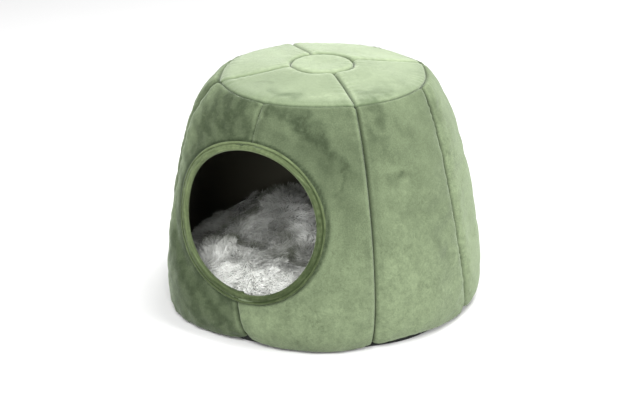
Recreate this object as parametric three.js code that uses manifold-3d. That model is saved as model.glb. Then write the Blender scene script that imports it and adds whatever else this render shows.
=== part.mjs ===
// A semi-enclosed pet bed: a padded round house of eight wall panels and a quilted top,
// with a bound round opening in front, a dark lining, a black base and a loose plush cushion.
// Millimetres, +Z up. The origin is the middle of the underside, and the opening faces -Y.
// Angles round the bed are in degrees, from the front (-Y) towards +X.

import * as THREE from 'three';
import { mergeVertices } from 'three/addons/utils/BufferGeometryUtils.js';
import Module from 'manifold-3d';

const wasm = await Module();
wasm.setup();

// Driving dimensions
const GAP = 0.3; // between neighbouring pieces
const EDGE = 2.5; // thickness of a padded piece where it is sewn

// The wall's seam line in section runs from the foot seam to the ring seam round the top
const FOOT = { radius: 189, height: 3, liftFade: 4 };
const WALL_LOW = { radius: 213, height: 42 }; // handles of the curve between the two seams
const WALL_HIGH = { radius: 168, height: 236 };
const RING = { radius: 129, height: 282 };
const WALL = { puff: 7, back: 2.5, across: 2.6, up: 6 }; // crowns outside and inside, and their fullness

// The top
const DISC = { radius: 39.5, height: 296, clear: 0.5 }; // the radius is of its seam
const TOP = { puff: 3.6, back: 4, arch: 1.2, full: 2.6 }; // the arch is of a petal's seam line in section

// The wall and the top meet on one slant. Each turns to it in its last stretch before the ring,
// and the top turns upright towards the disc.
const MITRE = { slant: new THREE.Vector2(0.6, 0.8), wallFrom: 0.93, topFrom: 0.8, discTo: 0.2 };
const MITRE_GAP = { wall: 1.6, top: 1.2 }; // shares of half a gap that keep the slanted ends apart

// The wall seams: the angle of each at its foot, half way up and at the ring, and on the disc
// for the four that run on over the top. Each seam's foot is lifted above the panels' feet.
const SEAMS = [
  { name: 'front', foot: 0.5, middle: -5, ring: -3, lift: 9 },
  { name: 'front_right', foot: 46, middle: 46.5, ring: 45, disc: 48, lift: 3 },
  { name: 'right', foot: 93, middle: 86, ring: 92, lift: 4 },
  { name: 'back_right', foot: 135, middle: 136, ring: 135, disc: 139, lift: 6 },
  { name: 'back', foot: 179, middle: 180, ring: 181, lift: 5 },
  { name: 'back_left', foot: 225, middle: 224, ring: 226, disc: 227, lift: 7 },
  { name: 'left', foot: 271, middle: 270, ring: 269, lift: 4 },
  { name: 'front_left', foot: 313, middle: 311, ring: 314, disc: 317, lift: 6 },
];

// The wall panels, each from the seam of the same row to the next one: how far the fullest line
// of each stands outside the circle through its seams, at the foot, half way up and at the ring,
// and the powers with which it rises from its left and its right seam
const PANELS = [
  { name: 'front_right', foot: 4, middle: 6, ring: -5, left: 2, right: 1 },
  { name: 'right_front', foot: 3, middle: 0, ring: -1.5, left: 1, right: 1 },
  { name: 'right_back', foot: 2, middle: 0, ring: -2, left: 1, right: 1 },
  { name: 'back_right', foot: 3, middle: 1, ring: -1.5, left: 1, right: 1 },
  { name: 'back_left', foot: 2, middle: -1, ring: -2.5, left: 1, right: 1 },
  { name: 'left_back', foot: 3, middle: 0, ring: -1, left: 1, right: 1 },
  { name: 'left_front', foot: 0, middle: -6, ring: -2, left: 1, right: 1 },
  { name: 'front_left', foot: 6, middle: 7, ring: -1, left: 1, right: 2 },
];

// Where the filling pushes the whole wall out, or lets it in: the middle of each swelling, how
// far it reaches round the bed, in degrees, and up it, and how far out it goes
const SWELLINGS = [
  { name: 'left_shoulder', angle: 298, height: 236, around: 34, up: 60, out: 5 },
  { name: 'ring_left', angle: 288, height: 288, around: 36, up: 18, out: -6 },
  { name: 'low_left', angle: 298, height: 55, around: 30, up: 31, out: -4.5 },
  { name: 'foot_front_left', angle: 316, height: 0, around: 28, up: 28, out: 6 },
  { name: 'front_left_shoulder', angle: 318, height: 222, around: 20, up: 54, out: 4 },
  { name: 'right', angle: 118, height: 106, around: 30, up: 58, out: -3.6 },
];

// The opening, seen square on, and the tape folded over its rim. Three shallow flats draw it in
// a little between its lobes, the first of which is turned by lobeTurn.
const OPENING = {
  turn: -3.6,
  height: 148.9,
  halfWidth: 94.5,
  halfHeight: 83.9,
  lean: -0.074,
  lobes: 3,
  lobeDepth: -0.018,
  lobeTurn: -4,
};
const RIM = { flat: 22, reach: 22 }; // the padding is sewn flat round the rim and fills out beyond that
const BINDING = { width: 9.5, fold: 1.5, thickness: 1.2, clear: 0.6, liningClear: 1.8 };

const LINING = { thickness: 1.5, clear: 1.25, footRadius: 183, footPlace: 0.06, roofFull: 10 };
const BASE = { radius: 187, thickness: 10, round: 3.5 };

// The cushion, and the bulges and troughs of its top
const CUSHION = { radius: 176, height: 60, middle: 26, full: 5 };
const BULGES = [
  { name: 'front', x: 12, y: -122, reach: 62, rise: 8 },
  { name: 'front_left', x: -75, y: -95, reach: 60, rise: 4 },
  { name: 'middle_right', x: 25, y: 25, reach: 85, rise: 18 },
  { name: 'back_left', x: -115, y: 75, reach: 70, rise: 24 },
];
const TROUGHS = [
  { name: 'long', x1: -125, y1: -28, x2: -40, y2: -34, reach: 18, depth: 8 },
  { name: 'short', x1: -40, y1: -34, x2: 20, y2: -55, reach: 18, depth: 10 },
];

// Steps of the curved surfaces
const FRONT_STEPS = { across: 13, up: 20 };
const PANEL_STEPS = { across: 7, up: 10 };
const PETAL_STEPS = { across: 8, along: 4 };
const TURN_STEPS = 32;
const RIM_STEPS = 40;
const LINING_STEPS = 13;
const EASE = { panel: 0.6, lining: 0.55 }; // how much closer the steps are at a panel's seams or the opening
const HALVINGS = 24; // of the search for a height on the wall
const MEETINGS = 8; // of the search for a point straight ahead of the opening

const COLOURS = {
  velvet: 0x8fa57c,
  top: 0xb9cca6,
  binding: 0x7f9664,
  lining: 0x14130f,
  base: 0x191c1a,
  plush: 0xb4b5b1,
};

const { lerp, clamp, smoothstep, degToRad, radToDeg, euclideanModulo } = THREE.MathUtils;
const UPRIGHT = new THREE.Vector2(0, 1);

function polar(angle, radius, height) {
  return new THREE.Vector3(radius * Math.sin(degToRad(angle)), -radius * Math.cos(degToRad(angle)), height);
}

function leaning(normal, towards, share) {
  return normal.clone().lerp(towards, share).normalize();
}

// How full a padded piece is, from 1 in its middle to 0 at its seams, at a share of the way out
// from the middle: flat in the middle and steep at the seams
function fullness(share, sharpness) {
  return Math.sqrt(Math.max(0, 1 - Math.abs(share) ** sharpness));
}

// The same at a place from 0 to 1 between two seams
function fullnessBetween(place, sharpness) {
  return fullness(2 * place - 1, sharpness);
}

// The wall seams

// The value at a place up the wall of a row that gives it at the foot, half way up and at the ring
function upTheWall({ foot, middle, ring }, place) {
  const near = foot * (1 - place) - ring * place;
  return near * (1 - 2 * place) + middle * 4 * place * (1 - place);
}

function seamAngle(index, place) {
  const turns = Math.floor(index / SEAMS.length);
  return upTheWall(SEAMS[euclideanModulo(index, SEAMS.length)], place) + 360 * turns;
}

// Which panel an angle falls in at a place up the wall, and how far across it
function panelAt(angle, place) {
  const first = seamAngle(0, place);
  const turned = first + euclideanModulo(angle - first, 360);
  let index = 0;
  while (seamAngle(index + 1, place) <= turned) index += 1;
  const left = seamAngle(index, place);
  return { index, across: (turned - left) / (seamAngle(index + 1, place) - left) };
}

// The wall and the top as surfaces through their seams

function swollen(angle, height) {
  const parts = SWELLINGS.map((swelling) => {
    const turned = (euclideanModulo(angle - swelling.angle + 180, 360) - 180) / swelling.around;
    const raised = (height - swelling.height) / swelling.up;
    return swelling.out * Math.exp(-(turned ** 2) - raised ** 2);
  });
  return parts.reduce((total, part) => total + part, 0);
}

// How far a panel stands outside the circle through its seams
function spread(angle, place) {
  const { index, across } = panelAt(angle, place);
  const { left, right } = PANELS[index];
  const rise = (share) => share ** left * (1 - share) ** right;
  const bulge = (upTheWall(PANELS[index], place) * rise(across)) / rise(left / (left + right));
  return bulge + swollen(angle, wallLine(angle).getPoint(place).y);
}

function wallLine(angle) {
  const { index, across } = panelAt(angle, 0);
  const lift = lerp(SEAMS[index].lift, SEAMS[(index + 1) % SEAMS.length].lift, across);
  return new THREE.CubicBezierCurve(
    new THREE.Vector2(FOOT.radius, FOOT.height + lift * (2 * across - 1) ** FOOT.liftFade),
    new THREE.Vector2(WALL_LOW.radius, WALL_LOW.height),
    new THREE.Vector2(WALL_HIGH.radius, WALL_HIGH.height),
    new THREE.Vector2(RING.radius, RING.height),
  );
}

// A point at a place from 0 at the foot to 1 at the ring, a distance outside the seam line
function wallPoint(angle, place, out) {
  const line = wallLine(angle);
  const point = line.getPoint(place);
  const tangent = line.getTangent(place);
  const square = new THREE.Vector2(tangent.y, -tangent.x);
  const normal = leaning(square, MITRE.slant, smoothstep(place, MITRE.wallFrom, 1));
  return polar(angle, point.x + spread(angle, place) + normal.x * out, point.y + normal.y * out);
}

// A point at a place from 0 at the disc to 1 at the ring, a distance above the seam line
function topPoint(angle, place, out) {
  const ring = RING.radius + spread(angle, 1);
  const radius = lerp(DISC.radius, ring, place);
  const height = lerp(DISC.height, RING.height, place) + TOP.arch * 4 * place * (1 - place);
  const slope = (RING.height - DISC.height + TOP.arch * 4 * (1 - 2 * place)) / (ring - DISC.radius);
  const square = new THREE.Vector2(-slope, 1).normalize();
  const mitred = leaning(square, MITRE.slant, smoothstep(place, MITRE.topFrom, 1));
  const normal = leaning(mitred, UPRIGHT, 1 - smoothstep(place, 0, MITRE.discTo));
  return polar(angle, radius + normal.x * out, height + normal.y * out);
}

// The opening, straight through the wall's surface

function placeAtHeight(angle, height) {
  const line = wallLine(angle);
  let low = 0;
  let high = 1;
  for (let halving = 0; halving < HALVINGS; halving += 1) {
    const middle = (low + high) / 2;
    if (line.getPoint(middle).y < height) low = middle;
    else high = middle;
  }
  return low;
}

function wallRadius(angle, place) {
  return wallLine(angle).getPoint(place).x + spread(angle, place);
}

// 1 on the rim, less inside it, more outside it
function openingShare(sideways, upwards) {
  const direction = OPENING.lobes * Math.atan2(upwards, sideways) - degToRad(OPENING.lobeTurn);
  const reach = 1 + OPENING.lobeDepth * Math.cos(direction);
  const leaned = (sideways - OPENING.lean * upwards) / OPENING.halfWidth;
  return Math.hypot(leaned, upwards / OPENING.halfHeight) / reach;
}

// The place on the wall straight ahead of a point of the opening's face
function placeAhead(sideways, upwards) {
  const height = OPENING.height + upwards;
  let angle = OPENING.turn;
  let place = placeAtHeight(angle, height);
  for (let meeting = 0; meeting < MEETINGS; meeting += 1) {
    angle = OPENING.turn + radToDeg(Math.asin(sideways / wallRadius(angle, place)));
    place = placeAtHeight(angle, height);
  }
  return { angle, place };
}

// A point in a direction from the middle of the opening: a distance beyond the rim and a
// distance outside the wall's seam line
function rimPoint(direction, beyond, out) {
  const sideways = Math.cos(direction);
  const upwards = Math.sin(direction);
  const distance = 1 / openingShare(sideways, upwards) + beyond;
  const { angle, place } = placeAhead(sideways * distance, upwards * distance);
  return wallPoint(angle, place, out);
}

function fullnessNearRim(angle, place) {
  const turn = degToRad(angle - OPENING.turn);
  if (Math.cos(turn) < 0) return 1;
  const sideways = wallRadius(angle, place) * Math.sin(turn);
  const share = openingShare(sideways, wallLine(angle).getPoint(place).y - OPENING.height);
  const beyondFlat = (share - 1) * OPENING.halfHeight - RIM.flat;
  const near = clamp(beyondFlat / RIM.reach, 0, 1);
  return near * (2 - near);
}

// Closed shapes: every vertex of a plain one is moved to its place on the bed

function withoutFlatTriangles(index) {
  const kept = [];
  for (let corner = 0; corner < index.length; corner += 3) {
    const [a, b, c] = index.slice(corner, corner + 3);
    if (a !== b && b !== c && c !== a) kept.push(a, b, c);
  }
  return kept;
}

function moved(geometry, place) {
  geometry.deleteAttribute('normal');
  geometry.deleteAttribute('uv');
  const merged = mergeVertices(geometry);
  merged.setIndex(withoutFlatTriangles(Array.from(merged.index.array)));
  const position = merged.getAttribute('position');
  for (let vertex = 0; vertex < position.count; vertex += 1) {
    const at = place(new THREE.Vector3().fromBufferAttribute(position, vertex));
    position.setXYZ(vertex, at.x, at.y, at.z);
  }
  return merged;
}

// A sheet between two seams each way. The place function takes how far across it, how far
// along it and which face, 0 for the inner one and 1 for the outer one.
function sheetBetweenSeams(acrossSteps, alongSteps, place) {
  const block = new THREE.BoxGeometry(1, 1, 1, acrossSteps, alongSteps, 1);
  return moved(block, ({ x, y, z }) => place(x + 0.5, y + 0.5, z + 0.5));
}

// A sheet round the bed's axis. The place function takes the ring's number, the angle and
// which face, 0 for the lower one and 1 for the upper one.
function sheetRoundAxis(lowerRings, upperRings, place) {
  const lower = lowerRings.map((ring) => new THREE.Vector2(ring, 0));
  const upper = upperRings.map((ring) => new THREE.Vector2(ring, 1));
  const profile = [...lower, ...upper.reverse()];
  const lathe = new THREE.LatheGeometry(profile, TURN_STEPS);
  return moved(lathe, ({ x, y, z }) => place(Math.hypot(x, z), radToDeg(Math.atan2(x, z)), y));
}

// Cutting, and the way back to a plain geometry

function asManifold(geometry) {
  const vertProperties = new Float32Array(geometry.getAttribute('position').array);
  const triVerts = new Uint32Array(geometry.index.array);
  return new wasm.Manifold(new wasm.Mesh({ numProp: 3, vertProperties, triVerts }));
}

function asGeometry(manifold) {
  const { vertProperties, triVerts } = manifold.getMesh();
  const geometry = new THREE.BufferGeometry();
  geometry.setAttribute('position', new THREE.BufferAttribute(vertProperties, 3));
  geometry.setIndex(new THREE.BufferAttribute(triVerts, 1));
  return geometry;
}

// A plug through the wall with the opening's outline
const PLUG = { inner: -14, outer: 16, steps: 5 };

function openingPlug() {
  const bar = new THREE.CylinderGeometry(1, 1, 1, RIM_STEPS, PLUG.steps);
  return moved(bar, ({ x, y, z }) => {
    const out = lerp(PLUG.inner, PLUG.outer, y + 0.5);
    const middle = Math.hypot(x, z) < 0.5;
    if (middle) return wallPoint(OPENING.turn, placeAtHeight(OPENING.turn, OPENING.height), out);
    return rimPoint(Math.atan2(-z, x), 0, out);
  });
}

function withOpening(geometry) {
  return asGeometry(asManifold(geometry).subtract(asManifold(openingPlug())));
}

// The pieces

// Steps across a panel are closer together near its seams
function easedAcross(across) {
  return lerp(across, 0.5 - 0.5 * Math.cos(Math.PI * across), EASE.panel);
}

function sidePanel(index, steps) {
  const line = wallLine(seamAngle(index, 0));
  const topInset = (GAP / 2 / line.getLength()) * MITRE_GAP.wall;
  return sheetBetweenSeams(steps.across, steps.up, (plainAcross, plainPlace, face) => {
    const across = easedAcross(plainAcross);
    const place = plainPlace * (1 - topInset);
    const inset = radToDeg(GAP / 2 / line.getPoint(place).x);
    const left = seamAngle(index, place) + inset;
    const right = seamAngle(index + 1, place) - inset;
    const angle = lerp(left, right, across);
    const quilted = fullnessBetween(across, WALL.across) * fullnessBetween(place, WALL.up);
    const full = quilted * fullnessNearRim(angle, place);
    const out = face ? EDGE / 2 + WALL.puff * full : -EDGE / 2 - WALL.back * full;
    return wallPoint(angle, place, out);
  });
}

function topPetal(seamIndex, nextSeamIndex) {
  const [left, right] = [SEAMS[seamIndex], SEAMS[nextSeamIndex]];
  const turn = nextSeamIndex > seamIndex ? 0 : 360;
  const endInset = (GAP / 2 / (RING.radius - DISC.radius)) * MITRE_GAP.top;
  return sheetBetweenSeams(PETAL_STEPS.across, PETAL_STEPS.along, (plainAcross, plainPlace, face) => {
    const place = lerp(1 - endInset, endInset, plainPlace);
    const across = easedAcross(plainAcross);
    const inset = radToDeg(GAP / 2 / lerp(DISC.radius, RING.radius, place));
    const leftAngle = lerp(left.disc, left.ring, place) + inset;
    const rightAngle = lerp(right.disc, right.ring, place) + turn - inset;
    const full = fullnessBetween(across, TOP.full) * fullnessBetween(place, TOP.full);
    const out = face ? EDGE / 2 + TOP.puff * full : -EDGE / 2 - TOP.back * full;
    return topPoint(lerp(leftAngle, rightAngle, across), place, out);
  });
}

const DISC_RINGS = [0, 0.5, 0.85, 1]; // shares of its radius

function topDisc() {
  const radius = DISC.radius - DISC.clear;
  const rings = DISC_RINGS.map((share) => share * radius);
  return sheetRoundAxis(rings, rings, (ring, angle, face) => {
    const full = fullness(ring / radius, TOP.full);
    const height = face ? EDGE / 2 + TOP.puff * full : -EDGE / 2 - TOP.back * full;
    return polar(angle, ring, DISC.height + height);
  });
}

// Steps round the lining are closer together at the opening
function easedTowardsOpening(angle) {
  const turn = degToRad(angle - OPENING.turn);
  return OPENING.turn + radToDeg(turn - EASE.lining * Math.sin(turn));
}

// Rings 0 to 1 run from the middle of the roof to the disc's seam, 1 to 2 on to the ring,
// and 2 to 3 down the wall. The last one stands on the base.
const ROOF_RINGS = [0, 1, 1.5, 1.85];

function lining() {
  const wallRings = Array.from({ length: LINING_STEPS + 1 }, (_, step) => 2 + step / LINING_STEPS);
  const rings = [...ROOF_RINGS, ...wallRings];
  const behind = (full, back, face) => -EDGE / 2 - back * full - LINING.clear - (face ? 0 : LINING.thickness);
  const geometry = sheetRoundAxis(rings, rings, (ring, plainAngle, face) => {
    const angle = easedTowardsOpening(plainAngle);
    const underTop = behind(fullness(ring / 2, LINING.roofFull), TOP.back, face);
    if (ring < 1) return polar(angle, DISC.radius * ring, DISC.height + underTop);
    if (ring < 2) return topPoint(angle, ring - 1, underTop);
    const place = 3 - ring;
    if (place < LINING.footPlace) {
      return polar(angle, LINING.footRadius - (face ? 0 : LINING.thickness), BASE.thickness + GAP);
    }
    const full = fullnessBetween(place, WALL.up) * fullnessNearRim(angle, place);
    return wallPoint(angle, place, behind(full, WALL.back, face));
  });
  return withOpening(geometry);
}

// The tape's section round the rim: how far each corner lies beyond the rim, and its level,
// from -2 on the inner leg's face through 0 in the middle of the fold to 2 on the outer leg's face
const TAPE_SECTION = [
  { beyond: BINDING.width, level: 1 },
  { beyond: BINDING.width, level: 2 },
  { beyond: 0, level: 2 },
  { beyond: -BINDING.fold, level: 1 },
  { beyond: -BINDING.fold, level: -1 },
  { beyond: 0, level: -2 },
  { beyond: BINDING.width, level: -2 },
  { beyond: BINDING.width, level: -1 },
  { beyond: -GAP, level: -1 },
  { beyond: -GAP, level: 1 },
];

function openingBinding() {
  const wallOut = EDGE / 2 + BINDING.clear;
  const liningIn = -EDGE / 2 - LINING.clear - LINING.thickness - BINDING.liningClear;
  const outAt = (level) => {
    const leg = BINDING.thickness * Math.max(0, Math.abs(level) - 1);
    if (level > 1) return wallOut + leg;
    if (level < -1) return liningIn - leg;
    return lerp(liningIn, wallOut, (level + 1) / 2);
  };
  const tube = 0.5;
  const torus = new THREE.TorusGeometry(1, tube, TAPE_SECTION.length, RIM_STEPS);
  return moved(torus, ({ x, y, z }) => {
    const turn = euclideanModulo(Math.atan2(z, Math.hypot(x, y) - 1), 2 * Math.PI);
    const corner = Math.round((turn / (2 * Math.PI)) * TAPE_SECTION.length) % TAPE_SECTION.length;
    const { beyond, level } = TAPE_SECTION[corner];
    return rimPoint(Math.atan2(y, x), beyond, outAt(level));
  });
}

function base() {
  const { radius, thickness, round } = BASE;
  const corner = (x, y, from) => new THREE.Path().absarc(x, y, round, from, from + Math.PI / 2).getPoints(2);
  const profile = [
    new THREE.Vector2(0, 0),
    ...corner(radius - round, round, -Math.PI / 2),
    ...corner(radius - round, thickness - round, 0),
    new THREE.Vector2(0, thickness),
  ];
  const lathe = new THREE.LatheGeometry(profile, TURN_STEPS);
  return moved(lathe, ({ x, y, z }) => polar(radToDeg(Math.atan2(x, z)), Math.hypot(x, z), y));
}

function distanceToLine(x, y, { x1, y1, x2, y2 }) {
  const line = new THREE.Line3(new THREE.Vector3(x1, y1, 0), new THREE.Vector3(x2, y2, 0));
  const at = new THREE.Vector3(x, y, 0);
  return line.closestPointToPoint(at, true, new THREE.Vector3()).distanceTo(at);
}

const CUSHION_RINGS = { under: [0, 0.88, 0.96, 1], upper: [0, 0.2, 0.36, 0.5, 0.63, 0.75, 0.86, 0.95, 1] };

function cushion() {
  const { radius, height, middle } = CUSHION;
  const seat = BASE.thickness + GAP;
  return sheetRoundAxis(CUSHION_RINGS.under, CUSHION_RINGS.upper, (ring, angle, face) => {
    const full = fullness(ring, CUSHION.full);
    if (!face) return polar(angle, radius * ring, seat + (middle - EDGE / 2) * (1 - full));
    const at = polar(angle, radius * ring, 0);
    const swell = (away, reach) => Math.exp(-((away / reach) ** 2));
    let uneven = 0;
    BULGES.forEach(({ x, y, reach, rise }) => {
      uneven += rise * swell(Math.hypot(at.x - x, at.y - y), reach);
    });
    TROUGHS.forEach((trough) => {
      uneven -= trough.depth * swell(distanceToLine(at.x, at.y, trough), trough.reach);
    });
    at.z = seat + middle + EDGE / 2 + (height - middle + uneven) * full;
    return at;
  });
}

// The bed

const bed = new THREE.Group();
bed.name = 'pet_bed';

function add(name, geometry, colour, roughness) {
  const material = new THREE.MeshStandardMaterial({ color: colour, roughness, metalness: 0 });
  const mesh = new THREE.Mesh(geometry, material);
  mesh.name = name;
  mesh.geometry.computeVertexNormals();
  bed.add(mesh);
}

SEAMS.forEach((seam, index) => {
  const front = index === 0 || index === SEAMS.length - 1;
  const panel = sidePanel(index, front ? FRONT_STEPS : PANEL_STEPS);
  add(`side_panel_${index + 1}`, front ? withOpening(panel) : panel, COLOURS.velvet, 0.9);
});

const topSeams = [...SEAMS.keys()].filter((index) => SEAMS[index].disc !== undefined);
topSeams.forEach((seamIndex, petal) => {
  const next = topSeams[(petal + 1) % topSeams.length];
  add(`top_petal_${petal + 1}`, topPetal(seamIndex, next), COLOURS.top, 0.9);
});

add('top_disc', topDisc(), COLOURS.top, 0.9);
add('opening_binding', openingBinding(), COLOURS.binding, 0.85);
add('lining', lining(), COLOURS.lining, 0.95);
add('base', base(), COLOURS.base, 0.8);
add('cushion', cushion(), COLOURS.plush, 1);

export default bed;
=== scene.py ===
# A semi-enclosed pet bed of green velvet: eight padded wall panels, a quilted top, a taped round
# opening, a dark lining, a black base and a loose plush cushion. The tables give millimetres, and
# angles in degrees round the bed from the front (-Y) towards +X. The meshes are in metres.

import math

import bmesh
import bpy
import numpy as np
from mathutils import Matrix, Vector


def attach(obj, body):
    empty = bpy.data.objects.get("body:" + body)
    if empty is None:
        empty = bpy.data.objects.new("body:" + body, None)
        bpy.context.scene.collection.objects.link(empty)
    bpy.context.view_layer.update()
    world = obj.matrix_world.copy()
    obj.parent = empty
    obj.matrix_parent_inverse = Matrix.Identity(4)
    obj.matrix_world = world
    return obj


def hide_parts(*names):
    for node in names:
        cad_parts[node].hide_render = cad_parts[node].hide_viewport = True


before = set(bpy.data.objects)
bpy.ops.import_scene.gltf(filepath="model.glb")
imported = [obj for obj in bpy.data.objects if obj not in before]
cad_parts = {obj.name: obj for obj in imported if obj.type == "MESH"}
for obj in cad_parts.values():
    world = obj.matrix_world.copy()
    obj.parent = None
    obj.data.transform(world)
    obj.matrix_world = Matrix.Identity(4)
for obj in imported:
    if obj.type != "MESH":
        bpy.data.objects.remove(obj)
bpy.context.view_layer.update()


def table(names, *rows):
    """Rows with named columns."""
    return [dict(zip(names.split(), row)) for row in rows]


MM = 0.001
FAR = 1000  # further than anything on the bed
GAP = 0.3  # between the cut edges of two pieces
EDGE = 2.5  # what a padded piece thins out to at its seams

# The wall's seam line in section, and the power with which the notch at a seam's foot narrows
FOOT = {"radius": 189, "height": 3, "notch": 4}
WALL_LOW = {"radius": 213, "height": 42}
WALL_HIGH = {"radius": 168, "height": 236}
RING = {"radius": 129, "height": 282}

# How far the padding stands out and back, and how square it is: the larger, the squarer
WALL = {"puff": 7, "back": 2.5, "across": 2.6, "up": 6}
TOP = {"puff": 3.6, "back": 4, "arch": 1.2, "full": 2.6}

# The disc in the middle of the top, the gap round it, and how finely it is divided
DISC = {"radius": 39.5, "height": 293.4, "clear": 0.5, "rings": 22, "steps": 96}

# The slant of the mitre at the ring, in radius and height, the shares of the wall's line and of
# the top's beyond which the cloth turns to it, and the share at the disc where it lies level
SLANT = np.array([0.6, 0.8])
LEVEL_WAY = np.array([0.0, 1.0])
MITRE = {"wall": 0.93, "top": 0.8, "level": 0.2}
MITRE_GAP = {"wall": 1.6, "top": 1.2}
CORNER_POWER = 8  # how fast a rounded corner dies away from the ring

# The wall seams: the angle of each at its foot, half way up, at the ring and on the disc, and
# the lift of its foot
SEAMS = table(
    "foot middle ring disc lift",
    (0.5, -5, -3, None, 9), (46, 46.5, 45, 48, 3), (93, 86, 92, None, 4), (135, 136, 135, 139, 6),
    (179, 180, 181, None, 5), (225, 224, 226, 227, 7), (271, 270, 269, None, 4),
    (313, 311, 314, 317, 6),
)

# How far each panel's fullest line stands outside the circle through its seams, the powers with
# which it rises from its left and its right seam, how light its pile is at its foot and its top,
# from -1, dark, to 1, light, partly as its pile lies down or up and partly painted light, lighter on
# the panels at the right that face the light and darker at the front left, and how blotched it is
PANELS = table(
    "foot middle ring left right low_pile high_pile blotches",
    (4, 6, -5, 2, 1, 0.38, -0.45, 0.08), (3, 0, -1.5, 1, 1, 0.68, -0.08, 0.05),
    (2, 0, -2, 1, 1, 1.5, 0.6, 0.1), (3, 1, -1.5, 1, 1, 0.25, 0.0, 0.15),
    (2, -1, -2.5, 1, 1, 0.15, -0.15, 0.15), (3, 0, -1, 1, 1, 0.2, 0.0, 0.15),
    (0, -6, -2, 1, 1, 0.6, 0.5, 0.15), (6, 7, -1, 1, 2, -0.82, -0.86, 0.28),
)

# Painted light and shade along a panel's left and its right edge: how far in, how wide and how much.
# Most panels are painted darker along their left edge and with a narrow highlight along their right.
# At the seam at the front left, the panel to its right has a wide painted sheen along it, and the
# panel to its left a painted shadow in the groove.
EDGE_LIGHT_AND_SHADE = {
    6: table("at reach shade", (0, 11, -0.4), (0, 9, -1.2)),
    7: table("at reach shade", (3, 24, 1.6), (3, 2.2, 0.35)),
    "others": table("at reach shade", (0, 11, -0.4), (3, 2.2, 0.35)),
}

# Where the filling pushes the whole wall out, or lets it in: the middle of each swelling, how far
# it reaches round the bed, in degrees, and up it, and how far out it goes
SWELLINGS = table(
    "angle height around up out",
    (298, 256, 34, 26, 2),  # left shoulder
    (288, 288, 36, 18, -6),  # ring at the left
    (298, 66, 30, 72, -9.5),  # low at the left
    (324, 0, 17, 22, 5),  # foot at the front left
    (301, 14, 15, 24, -7.5),  # foot at the left
    (316, 222, 15, 45, 3),  # front left shoulder
    (118, 106, 30, 58, -3.6),  # right
)

# Where the base's hem shows under a panel: its angle, how far round and up it reaches, how far
# out it stands, how far the panel is lifted, and how fast the hem dies away from the rim
HEM = {"at": 61, "around": 15, "up": 4, "out": 5, "lift": 5.5, "from_rim": 8}

# What a seam does to the padded cloth: it draws it down, with a shoulder beside it. The ring's
# seam does so less at the back, between two cosines of the angle from the side that is seen, and
# the disc's a little less all round. No cloth sinks lower than the last row gives.
SEAM = {"depth": 1.5, "reach": 1.8, "shoulder": 1.7, "shoulder_at": 7}
RING_SEAM = {"front": 1.0, "back": 0.2, "turns_at": (-0.6, 0.2)}
DISC_SEAM = 0.8
LOWEST = {"wall": -0.7, "top": -0.6}

# The seams that lie in a valley: the number of each, how far its shoulders stand out, and the
# radius of the panels' corners where it meets the ring, then what all valleys share, with the
# painted shade that darkens the pile in the valley
VALLEYS = {2: {"rise": 2.4, "corner": 7}, 7: {"rise": 3.4, "corner": 8}, 4: {"rise": 0.6, "corner": 4}}
LEVEL = {"rise": 0.0, "corner": 3}
VALLEY = {"reach": 10, "bottom": 0.4, "shade": 0.3, "shade_reach": 3}

# Above the opening the front seam lies almost flat
FLAT_SEAM = {"share": 0.75, "heights": (225, 245), "reach": 12}

# The opening, seen square on, the shallow lobes of its outline, how far beyond its rim the cloth
# lies flat before the padding rises, how the tape presses the cloth, and the painted shadow that
# darkens the pile just beyond the tape's edge
OPENING = {"turn": -3.6, "height": 148.9, "half_width": 94.5, "half_height": 83.9, "lean": -0.074}
LOBES = {"number": 3, "depth": -0.018, "turn": -4}
RIM = {"flat": 22, "reach": 22}
BESIDE_TAPE = {"at": 9, "reach": 2, "depth": 1.1}
TAPE_SHADE = {"at": 8.8, "reach": 1.8, "shade": -1.5}

# The uneven filling: its size in millimetres and how far it stands out
FILLING = {"wall": (75, 0.9), "top": (60, 0.7), "disc": (45, 0.35), "cushion": (45, 1.6)}

# Ripples that run into the seams: their length and reach, how strong they are and over which
# length that varies, and how far they wander: strength, length and turn for each seed
PUCKER = {"length": 10.5, "reach": 5.5, "strength": 0.55, "varies": 0.45, "over": 13.3, "turn": 0.7}
PUCKER_WANDER = ((1.9, 8.7, 1), (1.2, 19, 2.1))
RIPPLES = {"side": 0.4, "ring": 0.35, "foot": 0.5, "top": 0.35, "disc": 0.25}

# Millimetres to a degree along the seams that run round the bed, the top's from the ring inwards
DEGREE = {"ring": 2.3, "foot": 3.3, "top_ring": 2.2, "round_disc": 0.8, "disc": 0.62}

# Over how many millimetres softness fades in from a seam, wrinkles from the ring and all of it
# beyond the rim, and how wide the tape holds the cloth fast
HELD = {"seam": 2, "ring": 25, "rim": (12, 6), "tape": 11}

# Soft creases in the wall, from one point to another: angle, height, reach and depth
CREASES = table(
    "from to reach depth",
    ((37, 216), (34.5, 186), 4, 0.7),  # faint wrinkle right of the opening
    ((15, 46), (19, 14), 4, 1.2),  # pleat at the foot
    ((-34, 250), (-38, 215), 12, 0.9),  # dent left of the opening
    ((74, 150), (78, 88), 11, 0.9),  # dent low on the right
    ((60, 252), (72, 226), 12, 0.8),  # dent high on the right
    ((160, 232), (150, 196), 13, 1.0),  # dent behind
    ((205, 118), (199, 64), 12, 1.0),  # dent low behind
    ((246, 205), (252, 150), 12, 0.9),  # dent at the left
    ((289, 90), (296, 48), 11, 0.9),  # dent at the back left
)

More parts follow.
